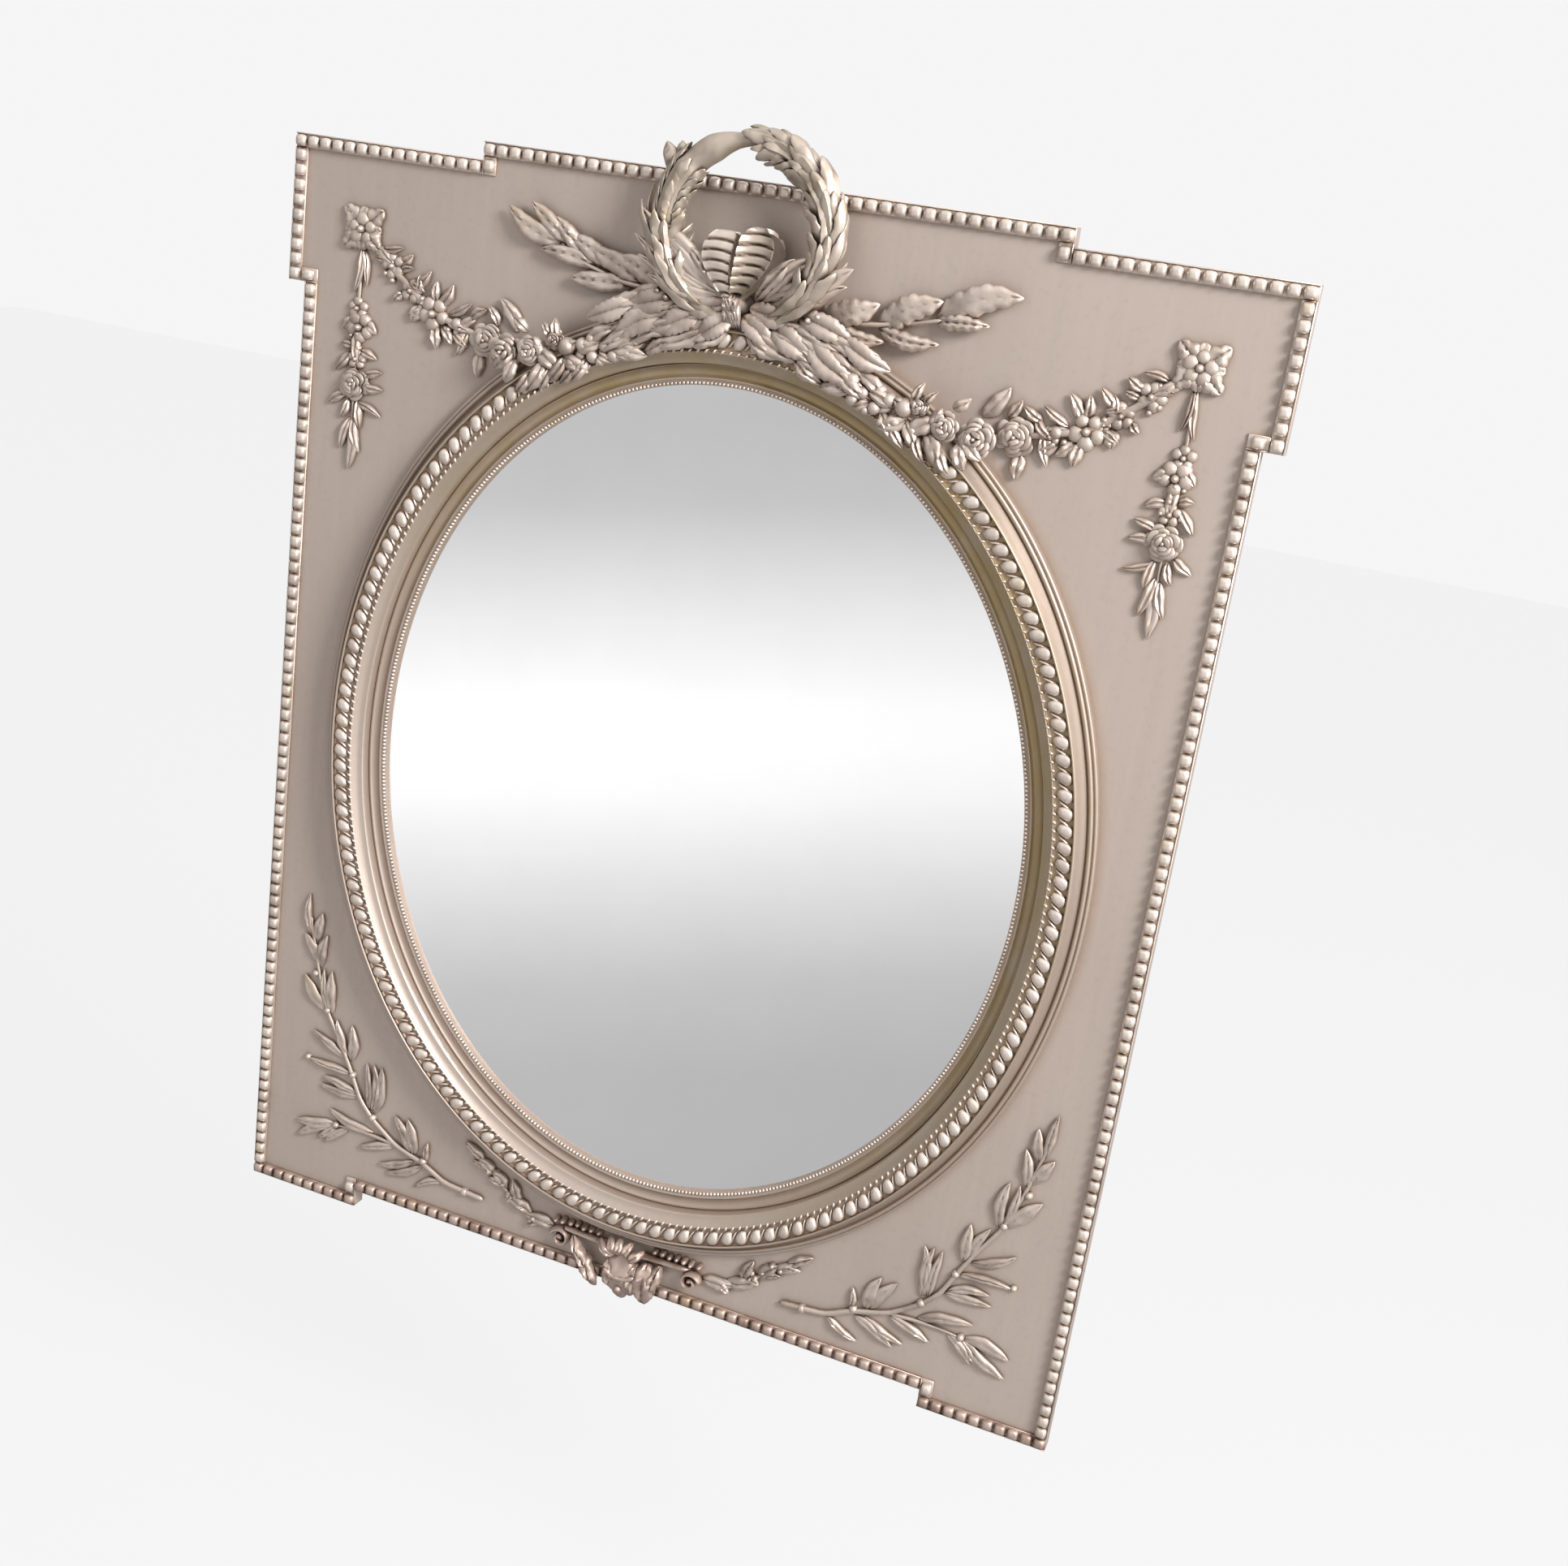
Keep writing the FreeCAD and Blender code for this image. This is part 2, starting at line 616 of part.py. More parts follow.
def egg_band():
    """The eggs in their channel: long low domes, evenly spaced along the channel's middle.

    An egg stands on the channel's floor with its long way pointing away from the oval's
    centre. Its sides are rings of flat faces, each ring the outline drawn smaller.
    """
    inner = total("slope_out + egg_margin")
    outer = total("channel_out - egg_margin")
    middle = (inner + outer) / 2
    half_long = (outer - inner) / 2
    high = total("crest_high - channel_floor")
    track = Part.Ellipse(Vector(0, size["sight_tall"] + middle, 0),
                         Vector(size["sight_half"] + middle, 0, 0), Vector(0, 0, 0)).toShape()
    count = round(track.Length / size["egg_pitch"])
    spots = track.discretize(Number=count + 1)[:-1]
    eggs = []
    for index in range(count):
        along = spots[(index + 1) % count] - spots[index - 1]
        along.normalize()
        outward = Vector(-along.y, along.x, 0)
        points = []
        for share, rise in DOME_RINGS:
            for step in range(EGG_SIDES):
                turn = 2 * math.pi * (step + 0.5) / EGG_SIDES
                reach = outward * (half_long * math.cos(turn))
                reach += along * (size["egg_wide"] / 2 * math.sin(turn))
                points.append(spots[index] + reach * share + Vector(0, 0, high * rise))
        eggs.append(solid_of(points, ring_faces(EGG_SIDES)))
    band = doc.addObject("Part::Feature", "egg_and_dart_band")
    band.Shape = Part.makeCompound(eggs)
    band.Placement = Placement(
        Vector(0, BOARD_FRONT - size["channel_floor"], size["oval_middle"] - HANG_LINE),
        Rotation(Vector(1, 0, 0), 90))
    keep("egg_and_dart_band", band)


class Spot:
    """A place on the board that ornament is measured from.

    across counts away from the middle of the mirror on the right, and towards the left
    on the left, so that one list of leaves serves both sides.
    """

    def __init__(self, x, height, side=1):
        self.x = x
        self.height = height
        self.side = side

    def at(self, across, up, high=0.0):
        """A point at a height above the board's front."""
        return Vector(self.x + self.side * across, -high, self.height + up)


def leaf(spot, start, tip, wide, rise, lift=0.0):
    """A leaf with a flat back and a ridge along its middle."""
    (x0, z0), (x1, z1) = start, tip
    long = math.hypot(x1 - x0, z1 - z0)
    ax, az = (x1 - x0) / long, (z1 - z0) / long

    def point(along, side, high):
        return spot.at(x0 + ax * along * long - az * side * wide,
                       z0 + az * along * long + ax * side * wide, lift + high)

    points = [
        point(0, 0, 0), point(0.3, 0.5, 0), point(0.7, 0.4, 0), point(1, 0, 0),
        point(0.7, -0.4, 0), point(0.3, -0.5, 0), point(0.22, 0, rise),
        point(0.68, 0, rise * 0.8),
    ]
    faces = [
        (0, 1, 2, 3, 4, 5), (0, 1, 6), (1, 7, 6), (1, 2, 7), (2, 3, 7), (3, 4, 7),
        (4, 5, 7), (5, 6, 7), (5, 0, 6),
    ]
    return solid_of(points, faces)


def ring_faces(sides):
    """The faces of a dome: its flat underside, its flat top, and two rings between them."""
    faces = [tuple(range(sides)), tuple(range(2 * sides, 3 * sides))]
    for low in (0, sides):
        for step in range(sides):
            following = (step + 1) % sides
            faces.append((low + step, low + following, low + sides + following,
                          low + sides + step))
    return faces


def dome(spot, middle, radius, rise, lift=0.0, sides=8):
    """A rounded boss, such as a flower or a berry, as two rings of facets and a top."""
    points = []
    for share, high in DOME_RINGS:
        for step in range(sides):
            angle = 2 * math.pi * (step + 0.5) / sides
            points.append(spot.at(middle[0] + radius * share * math.cos(angle),
                                  middle[1] + radius * share * math.sin(angle),
                                  lift + rise * high))
    return solid_of(points, ring_faces(sides))


def stem(spot, line, wide, rise, lift=0.0):
    """A stem along a line of points: one low ridged bar from each point to the next."""
    bars = []
    for (x0, z0), (x1, z1) in zip(line, line[1:]):
        long = math.hypot(x1 - x0, z1 - z0)
        ax, az = (x1 - x0) / long, (z1 - z0) / long
        reach = wide / 2

        def point(along, side, high):
            return spot.at(x0 + ax * along - az * side, z0 + az * along + ax * side,
                           lift + high)

        points = []
        for along in (-reach, long + reach):
            points += [point(along, reach, 0), point(along, -reach, 0),
                       point(along, -reach / 2, rise), point(along, reach / 2, rise)]
        faces = [(0, 1, 2, 3), (4, 5, 6, 7), (0, 1, 5, 4), (1, 2, 6, 5), (2, 3, 7, 6),
                 (3, 0, 4, 7)]
        bars.append(solid_of(points, faces))
    return bars


def leaves(spot, rows, rise, lift=0.0):
    """Leaves from rows of start across, start up, tip across, tip up and width."""
    return [leaf(spot, (a, b), (c, d), wide, rise, lift) for a, b, c, d, wide in rows]


def domes(spot, rows, lift=0.0):
    """Bosses from rows of across, up, radius and rise."""
    return [dome(spot, (a, b), radius, rise, lift) for a, b, radius, rise in rows]


OVAL_MARGIN = total("base_out + seam")
LEAF_BOW = 1.5
SEAT_TOLERANCE = 0.01
SPLINTER = 5.0


def oval_envelope():
    """The space that the oval moulding fills, with the seam that ornament keeps to it."""
    edge = Part.Ellipse(Vector(0, 0, size["oval_middle"] + size["sight_tall"] + OVAL_MARGIN),
                        Vector(size["sight_half"] + OVAL_MARGIN, 0, size["oval_middle"]),
                        Vector(0, 0, size["oval_middle"])).toShape()
    return Part.Face(Part.Wire(edge)).extrude(Vector(0, -size["crest_high"], 0))


ENVELOPE = oval_envelope()


def strip_space(low_x, high_x, low_z, high_z):
    """The space of a pearl strip, which ornament that crosses the strip is cut to fit."""
    high = total("strip_high + pearl_radius + seam")
    low = Vector(total(low_x), -high, total(low_z) - size["seam"])
    return Part.makeBox(total(high_x) - low.x, high, total(high_z) - low.z, low)


def over_oval(shape):
    """Whether a leaf or boss has a corner in the space that the oval moulding fills."""
    half = size["sight_half"] + OVAL_MARGIN + LEAF_BOW
    tall = size["sight_tall"] + OVAL_MARGIN + LEAF_BOW
    for vertex in shape.Vertexes:
        inside = (vertex.X / half) ** 2 + ((vertex.Z - size["oval_middle"]) / tall) ** 2 < 1
        if inside and -vertex.Y < size["crest_high"] - SEAT_TOLERANCE:
            return True
    return False


def carve(shapes, clear=()):
    """Cut each leaf and boss clear of the oval and of other ornaments, then join them."""
    pieces = []
    for shape in shapes:
        tools = [other for other in clear if other.BoundBox.intersect(shape.BoundBox)]
        if over_oval(shape):
            tools.append(ENVELOPE)
        pieces += shape.cut(tools).Solids if tools else [shape]
    pieces = [piece for piece in pieces if piece.Volume > SPLINTER]
    return pieces[0].multiFuse(pieces[1:]) if len(pieces) > 1 else pieces[0]


def seated(name, shape):
    """Make a carved shape a sub-part that lies on the board's front."""
    piece = doc.addObject("Part::Feature", name)
    piece.Shape = shape
    piece.Placement = Placement(Vector(0, BOARD_FRONT, -HANG_LINE), Rotation())
    return keep(name, piece)


def seated_pair(name, shape):
    """A carved shape for the right-hand side and its mirror image for the left."""
    twin = shape.mirror(Vector(0, 0, 0), Vector(1, 0, 0))
    seated("left_" + name, twin)
    seated("right_" + name, shape)
    return twin


# ---------------------------------------------------------------- applied ornament

# Leaves are rows of start across, start up, tip across, tip up and width. Flowers, buds
# and berries are rows of across, up, radius and rise. Stems are rows of across and up.

ROSETTE_LEAVES = [(0, 0, -19, 18, 15), (0, 0, 20, 18, 15), (0, 0, 19, -17, 15),
                  (0, 0, -18, -16, 15)]
ROSETTE_PETALS = [(0, 12, 7, 7), (-11, 0, 7, 7), (12, 0, 7, 7), (1, -11, 7, 7),
                  (0, 0, 5, 8.5)]


def rosette(spot):
    """A square rosette: four corner leaves, four petals and a boss."""
    return carve(leaves(spot, ROSETTE_LEAVES, size["leaf_rise"])
                 + domes(spot, ROSETTE_PETALS))


DROP_STEM = [(0, -17), (1, -60), (0, -110), (0, -170)]
DROP_FLOWERS = [(1, -77, 9, 8), (-1, -134, 15, 10), (-1, -90, 4, 6)]
DROP_LEAVES = [
    (1, -15, 6, -55, 8), (-2, -17, -6, -49, 6), (-5, -80, -20, -87, 11), (4, -76, 14, -88, 9),
    (-1, -86, -3, -118, 10), (-4, -104, -22, -109, 9), (3, -102, 16, -100, 8),
    (5, -106, 20, -125, 9), (-8, -126, -28, -120, 8), (-8, -134, -30, -135, 9),
    (8, -144, 25, -155, 9), (-3, -150, -30, -159, 7), (-5, -148, -9, -173, 9),
    (5, -148, 11, -166, 8), (-2, -162, -10, -194, 10), (2, -164, 10, -193, 10),
    (0, -166, 1, -211, 12),
]


def drop(spot, clear):
    """The ribbon, flowers and husks that hang below a rosette."""
    shapes = leaves(spot, DROP_LEAVES, size["leaf_rise"])
    shapes += stem(spot, DROP_STEM, wide=4, rise=3)
    shapes += domes(spot, DROP_FLOWERS)
    return carve(shapes, clear)


GARLAND_FLOWERS = [
    (-30, -27, 9, 8), (-50, -47, 9, 8), (-76, -61, 11, 10), (-131, -75, 16, 12),
    (-27, -18, 3, 5), (-32, -39, 3, 5), (-25, -34, 3, 5), (-100, -66, 6, 7),
]
GARLAND_LEAVES = [
    (-10, -12, -34, -26, 10), (-38, -24, -52, -15, 9), (-40, -30, -53, -26, 7),
    (-26, -24, -14, -22, 6), (-52, -42, -71, -26, 9), (-60, -56, -55, -71, 13),
    (-44, -48, -36, -56, 8), (-80, -54, -94, -34, 10), (-78, -52, -78, -33, 9),
    (-78, -70, -82, -90, 12), (-84, -70, -97, -84, 10), (-66, -58, -50, -66, 9),
    (-91, -60, -113, -47, 8), (-88, -64, -114, -71, 9), (-110, -68, -102, -93, 9),
    (-125, -86, -125, -108, 13), (-140, -62, -130, -46, 9), (-160, -64, -141, -38, 14),
    (-118, -58, -100, -72, 9),
]
GARLAND_STEM = [(-14, -14), (-44, -38), (-76, -61), (-104, -68), (-131, -75), (-155, -80)]
SWAG_FLOWERS = [(-155, -82, 17, 33), (-182, -76, 14, 34), (-205, -62, 9, 31)]
SWAG_BUDS = [
    (-218, -66, 9, 8), (-232, -62, 6, 7), (-243, -70, 6, 7), (-254, -60, 6, 7),
    (-265, -52, 9, 9), (-240, -56, 5, 6), (-262, -66, 6, 7),
]
SWAG_LEAVES = [
    (-170, -84, -163, -106, 13), (-198, -80, -183, -109, 14), (-218, -74, -203, -98, 12),
    (-238, -72, -223, -94, 10), (-210, -62, -205, -44, 9), (-203, -62, -193, -49, 8),
    (-196, -66, -186, -72, 16), (-225, -66, -252, -56, 12), (-250, -60, -290, -50, 13),
]


def garland(spot, clear):
    """The swag of roses and leaves from a rosette down to the oval and along its top."""
    lift = size["crest_high"]
    shapes = stem(spot, GARLAND_STEM, wide=8, rise=5)
    shapes += domes(spot, GARLAND_FLOWERS + SWAG_FLOWERS)
    shapes += leaves(spot, GARLAND_LEAVES, size["leaf_rise"])
    shapes += domes(spot, SWAG_BUDS, lift)
    shapes += leaves(spot, SWAG_LEAVES, size["spray_rise"], lift)
    return carve(shapes, clear)


CORNER_STEM = [
    (268, 57), (222, 61), (197, 74), (163, 84), (135, 104), (119, 122), (109, 144),
    (95, 172), (76, 203), (63, 242), (55, 275), (49, 302),
]
SPRIG_STEM = [(163, 84), (133, 86), (107, 85), (92, 83)]
CORNER_LEAVES = [
    (222, 61, 188, 44, 8), (199, 76, 200, 98, 7), (185, 79, 175, 117, 13),
    (182, 80, 160, 116, 13), (195, 70, 154, 50, 10), (185, 72, 145, 57, 9),
    (163, 82, 121, 68, 10), (137, 110, 141, 163, 12), (133, 112, 132, 164, 10),
    (130, 112, 124, 163, 9), (137, 88, 85, 100, 11), (107, 83, 81, 60, 10),
    (94, 82, 73, 62, 9), (92, 82, 48, 57, 12), (92, 84, 47, 76, 13),
    (117, 122, 72, 124, 10), (115, 125, 75, 134, 9), (109, 145, 55, 148, 8),
    (105, 158, 104, 198, 12), (101, 160, 86, 199, 10), (98, 160, 59, 180, 10),
    (79, 202, 77, 249, 12), (76, 204, 68, 249, 9), (76, 204, 46, 238, 15),
    (63, 248, 69, 285, 11), (61, 252, 43, 281, 13), (56, 275, 62, 307, 11),
    (52, 280, 47, 324, 9),
]
CORNER_BERRIES = [
    (245, 58, 6, 6), (196, 76, 5, 6), (135, 105, 5, 6), (109, 145, 4, 6), (75, 206, 4, 6),
    (59, 242, 4, 6), (94, 84, 4, 6), (56, 149, 3.5, 5),
]


def corner_branch():
    """The olive branch in a lower corner, measured inward from the board's side edge."""
    spot = Spot(size["body_half"], 0, -1)
    shapes = stem(spot, CORNER_STEM, wide=5, rise=4)
    shapes += stem(spot, SPRIG_STEM, wide=4, rise=4)
    shapes += leaves(spot, CORNER_LEAVES, size["leaf_rise"])
    shapes += domes(spot, CORNER_BERRIES)
    return carve(shapes)


LEFT_SPRAY_STEM = [(8, 0), (60, 1), (112, 4), (150, 14), (174, 28)]
RIGHT_SPRAY_STEM = [(8, 0), (60, 1), (112, 4), (166, 16)]
LEFT_SPRAY_LEAVES = [
    (170, 26, 226, 51, 12), (163, 26, 204, 57, 10), (150, 20, 178, 48, 9),
    (140, 11, 192, 20, 10), (106, 2, 162, 1, 11), (128, 12, 160, 33, 10),
    (100, 6, 140, 26, 13), (72, 3, 120, 22, 14), (58, 0, 112, -12, 14), (40, 2, 84, 22, 13),
]
RIGHT_SPRAY_LEAVES = [
    (160, 16, 226, 42, 18), (158, 14, 203, 17, 9), (112, 3, 163, 30, 17),
    (112, 2, 165, -3, 10), (60, 4, 112, 20, 18), (66, 2, 120, -8, 12), (50, -2, 106, -22, 15),
    (26, 4, 70, 24, 14),
]


def spray(side, line, rows, clear):
    """The long laurel spray on one side of the knot, measured from the knot."""
    spot = Spot(0, total("crest_top - knot_drop"), side)
    shapes = stem(spot, line, wide=6, rise=6) + leaves(spot, rows, size["spray_rise"])
    return carve(shapes, clear)


CREST_BUDS = [(58, -28, 6, 8), (70, -24, 6, 8), (82, -34, 6, 8)]
CREST_LEAVES = [
    (4, -6, 62, -34, 16), (18, -14, 82, -40, 14), (30, -8, 96, -34, 15),
    (44, -20, 104, -46, 13), (8, -18, 44, -34, 12), (40, -4, 108, -22, 16),
]


def crest_foliage(clear):
    """The leaves that lie on top of the oval moulding to the right of the knot."""
    spot = Spot(0, total("crest_top - knot_drop"))
    lift = size["crest_high"]
    shapes = leaves(spot, CREST_LEAVES, size["crest_rise"], lift)
    shapes += domes(spot, CREST_BUDS, lift)
    return carve(shapes, clear)


def spindle(middle, along, across, long, wide, deep):
    """A pointed leaf in the round: two tips and a ring of four corners between them."""
    front = Vector(0, -1, 0)
    points = [
        middle - along * (long / 2), middle + across * (wide / 2), middle + front * (deep / 2),
        middle - across * (wide / 2), middle - front * (deep / 2), middle + along * (long / 2),
    ]
    faces = []
    for step in range(4):
        following = 1 + (step + 1) % 4
        faces.append((0, 1 + step, following))
        faces.append((5, 1 + step, following))
    return solid_of(points, faces)


WREATH_STEP = 24
WREATH_START = 28
ROW_LAG = 6
ROW_GAP = 8
ROW_LEAN = 16
ROW_LIFTS = ((-1, 1), (0, 6), (1, 1))


def wreath_leaves(side, last):
    """Three rows of leaves along the wreath's rope, from the knot up one side.

    Angles run from the knot. The inner and outer rows start before and after the
    middle one, lean away from it and lie lower on the rope.
    """
    height = total("crest_top - wreath_drop")
    found = []
    for row, lift in ROW_LIFTS:
        angle = WREATH_START + ROW_LAG * row
        while angle <= last:
            turn = math.radians(angle)
            radius = size["wreath_radius"] + ROW_GAP * row
            outward = Vector(side * math.sin(turn), 0, -math.cos(turn))
            onward = Vector(side * math.cos(turn), 0, math.sin(turn))
            lean = math.radians(ROW_LEAN * row)
            along = onward * math.cos(lean) + outward * math.sin(lean)
            across = outward * math.cos(lean) - onward * math.sin(lean)
            middle = outward * radius + Vector(0, -size["rope_off"] - lift, height)
            found.append(spindle(middle, along, across, long=42, wide=13, deep=22))
            angle += WREATH_STEP
    return found


ROPE_SEGMENTS = 22


def faceted_ring(middle, section):
    """A ring about an axis along Y, from a section of (outward, forward) corners."""
    points = []
    for step in range(ROPE_SEGMENTS):
        turn = 2 * math.pi * (step + 0.5) / ROPE_SEGMENTS
        outward = Vector(math.sin(turn), 0, math.cos(turn))
        for out, forward in section:
            points.append(middle + outward * out + Vector(0, -forward, 0))
    faces = []
    corners = len(section)
    for step in range(ROPE_SEGMENTS):
        here = step * corners
        onward = ((step + 1) % ROPE_SEGMENTS) * corners
        for corner in range(corners):
            following = (corner + 1) % corners
            faces.append((here + corner, here + following, onward + following,
                          onward + corner))
    return solid_of(points, faces)


PAD_MARGIN = 6
RIGHT_LEAVES_END = 170
LEFT_LEAVES_END = 105


def laurel_wreath(clear):
    """The laurel wreath: a ring of leaves on a rope, carried by a pad on the board.

    The leaves cover the whole of the right side and the lower part of the left, whose
    upper part is the bare rope. The pad ends below the board's top edge.
    """
    height = total("crest_top - wreath_drop")
    middle = Vector(0, -size["rope_off"], height)
    radius = size["wreath_radius"]
    rope = size["rope_radius"]
    round_section = [(radius + rope * math.cos(math.pi * side / 3),
                      rope * math.sin(math.pi * side / 3)) for side in range(6)]
    pad_half = rope / 2
    back = -size["rope_off"]
    pad_section = [(radius - pad_half, back), (radius + pad_half, back),
                   (radius + pad_half, 0), (radius - pad_half, 0)]
    around = 2 * radius
    above = Part.makeBox(2 * around, around, around,
                         Vector(-around, -around, size["crest_top"] - PAD_MARGIN))
    pad_ring = faceted_ring(middle, pad_section).cut(above)
    shapes = [faceted_ring(middle, round_section), pad_ring]
    shapes += wreath_leaves(1, RIGHT_LEAVES_END) + wreath_leaves(-1, LEFT_LEAVES_END)
    wreath = carve(shapes, clear)
    seated("laurel_wreath", wreath)
    return wreath


FOOT_SHARE = 0.15
FOOT_RISE = 4
POINT_RISE = 2.5


def ribbon_loop(name, clear, middle_x, half_wide):
    """One loop of the bow: a band bent into a drop shape, standing edge-on to the viewer."""
    height = total("crest_top - knot_drop")
    top = size["loop_top"] - half_wide

    def drop_face(shrink):
        """A round top with two straight sides down to a point, drawn smaller by shrink."""
        radius = half_wide - shrink
        foot = Vector(middle_x * FOOT_SHARE, 0, height + FOOT_RISE + POINT_RISE * shrink)
        centre = Vector(middle_x, 0, height + top)
        reach = centre - foot
        spread = math.acos(radius / reach.Length)
        back = math.atan2(-reach.z, -reach.x)
        touch = [centre + Vector(math.cos(back + turn), 0, math.sin(back + turn)) * radius
                 for turn in (-spread, spread)]
        crown = centre + reach.normalize() * radius
        sides = [Part.LineSegment(foot, touch[0]).toShape(),
                 Part.Arc(touch[0], crown, touch[1]).toShape(),
                 Part.LineSegment(touch[1], foot).toShape()]
        return Part.Face(Part.Wire(sides))

    deep = Vector(0, -size["loop_deep"], 0)
    band = drop_face(0).extrude(deep).cut(drop_face(size["ribbon_thick"]).extrude(deep))
    band.translate(Vector(0, -size["loop_off"], 0))
    loop = carve([band], clear)
    seated(name, loop)
    return loop


PLEAT_RISE = 12
KNOT_PLEATS = [(-3.9, 2, -13, -30, 11), (-1.35, 2, -4.5, -30, 11), (1.35, 2, 4.5, -30, 11),
               (3.9, 2, 13, -30, 11)]


def ribbon_knot():
    """The knot: a boss that stands on the board, with a fan of pleats below it."""
    spot = Spot(0, total("crest_top - knot_drop"))
    shapes = [dome(spot, (0, 2), size["knot_radius"], size["knot_high"])]
    shapes += leaves(spot, KNOT_PLEATS, size["crest_high"] + PLEAT_RISE)
    knot = carve(shapes)
    seated("ribbon_knot", knot)
    return knot


def crown_ornament():
    """Everything round the knot at the top, each piece cut to lie against the others."""
    knot = ribbon_knot()
    left_loop = ribbon_loop("ribbon_left_loop", [knot], middle_x=-25, half_wide=14)
    right_loop = ribbon_loop("ribbon_right_loop", [knot, left_loop], middle_x=6, half_wide=16)
    strip = strip_space("0 - crest_half", "crest_half", "crest_top - strip_wide", "crest_top")
    wreath = laurel_wreath([knot, left_loop, right_loop, strip])
    near = [knot, left_loop, right_loop, wreath]
    right_crest = crest_foliage(near)
    left_crest = seated_pair("crest_foliage", right_crest)
    seated("left_laurel_spray",
           spray(-1, LEFT_SPRAY_STEM, LEFT_SPRAY_LEAVES, near + [left_crest]))
    seated("right_laurel_spray",
           spray(1, RIGHT_SPRAY_STEM, RIGHT_SPRAY_LEAVES, near + [right_crest]))
    return right_crest


def side_ornament(right_crest):
    """A rosette, a drop, a garland and a corner branch on each side."""
    height = size["ear_under"] + size["rosette_up"]
    spot = Spot(size["body_half"] - size["rosette_in"], height)
    centre = rosette(spot)
    seated_pair("rosette", centre)
    seated_pair("drop", drop(spot, [centre]))
    seated_pair("garland", garland(spot, [centre, right_crest]))
    seated_pair("corner_branch", corner_branch())


CARTOUCHE_LEAVES = [
    (0, 42, 0, -12, 34), (-48, 36, -27, -6, 14), (34, 38, 22, -8, 18), (0, 30, -32, 50, 13),
    (0, 30, -14, 62, 12), (0, 30, 2, 64, 12), (0, 30, 16, 60, 12), (0, 30, 32, 50, 13),
    (6, 38, 78, 44, 13), (-6, 38, -78, 44, 13),
]
CARTOUCHE_SCROLLS = [(-68, 33, 12, 12), (68, 33, 12, 12), (0, 26, 15, 24)]
CARTOUCHE_BEADS = [(side * across, 49, 5, 8) for side in (-1, 1)
                   for across in (28, 37, 46, 55, 64, 73, 82)]


def cartouche():
    """The carved leaf-and-scroll piece at the middle of the bottom edge."""
    spot = Spot(0, size["foot_height"])
    strip = strip_space("0 - foot_inner", "foot_inner", "foot_height",
                        "foot_height + strip_wide + seam")
    shapes = leaves(spot, CARTOUCHE_LEAVES, size["cartouche_rise"])
    shapes += domes(spot, CARTOUCHE_SCROLLS + CARTOUCHE_BEADS)
    middle_piece = carve(shapes, [strip])
    seated("bottom_cartouche", middle_piece)
    return middle_piece


BOTTOM_STEM = [(80, 38), (110, 42), (138, 60), (166, 84)]
BOTTOM_LEAVES = [
    (78, 36, 112, 40, 14), (96, 36, 108, 30, 10), (104, 42, 134, 54, 14),
    (120, 48, 128, 72, 12), (124, 52, 136, 50, 11), (134, 58, 152, 76, 13),
    (136, 60, 156, 66, 10), (148, 70, 168, 84, 12), (152, 74, 174, 78, 9),
    (160, 80, 184, 96, 10),
]


def bottom_sprig(clear):
    """The leafy sprig that runs from a cartouche scroll along the foot of the oval."""
    spot = Spot(0, size["foot_height"])
    shapes = stem(spot, BOTTOM_STEM, wide=5, rise=4)
    shapes += leaves(spot, BOTTOM_LEAVES, size["sprig_rise"])
    seated_pair("bottom_sprig", carve(shapes, clear))


def finish_and_write():
    """Check every object and every sub-part, then write one file for each sub-part."""
    doc.recompute()
    for thing in doc.Objects:
        if "Invalid" in thing.State or "Error" in thing.State:
            raise ValueError("%s failed: %s" % (thing.Label, thing.State))
    os.makedirs("parts", exist_ok=True)
    for name, thing in nodes.items():
        shape = thing.Shape
        if shape.isNull() or not shape.isValid() or not shape.Solids:
            raise ValueError("%s has no valid shape" % name)
        if min(solid.Volume for solid in shape.Solids) <= 0:
            raise ValueError("%s has an inside-out solid" % name)
        shape.exportStep("parts/%s.step" % name)
    print("%d sub-parts written" % len(nodes))


face_panel()
battens()
glass_and_backing()
oval_mouldings()
egg_band()
pearl_strips()
hangers()
turn_buttons()
side_ornament(crown_ornament())
bottom_sprig([cartouche()])
finish_and_write()
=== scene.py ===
# %% [markdown]
# # Trumeau mirror
# A painted board carries an oval looking glass in a carved oval moulding. Moulded pearls
# follow the board's edge, and a wreath, a bow, garlands and leafy branches are applied to
# its face. The board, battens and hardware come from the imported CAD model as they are.
# Everything carved is built here as a surface worked out with numpy, and each piece then
# stands in for its plainer CAD solid. Sculpting by hand would give finer folds, but a
# formula can be read, changed and run again with the same result.

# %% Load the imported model
import math

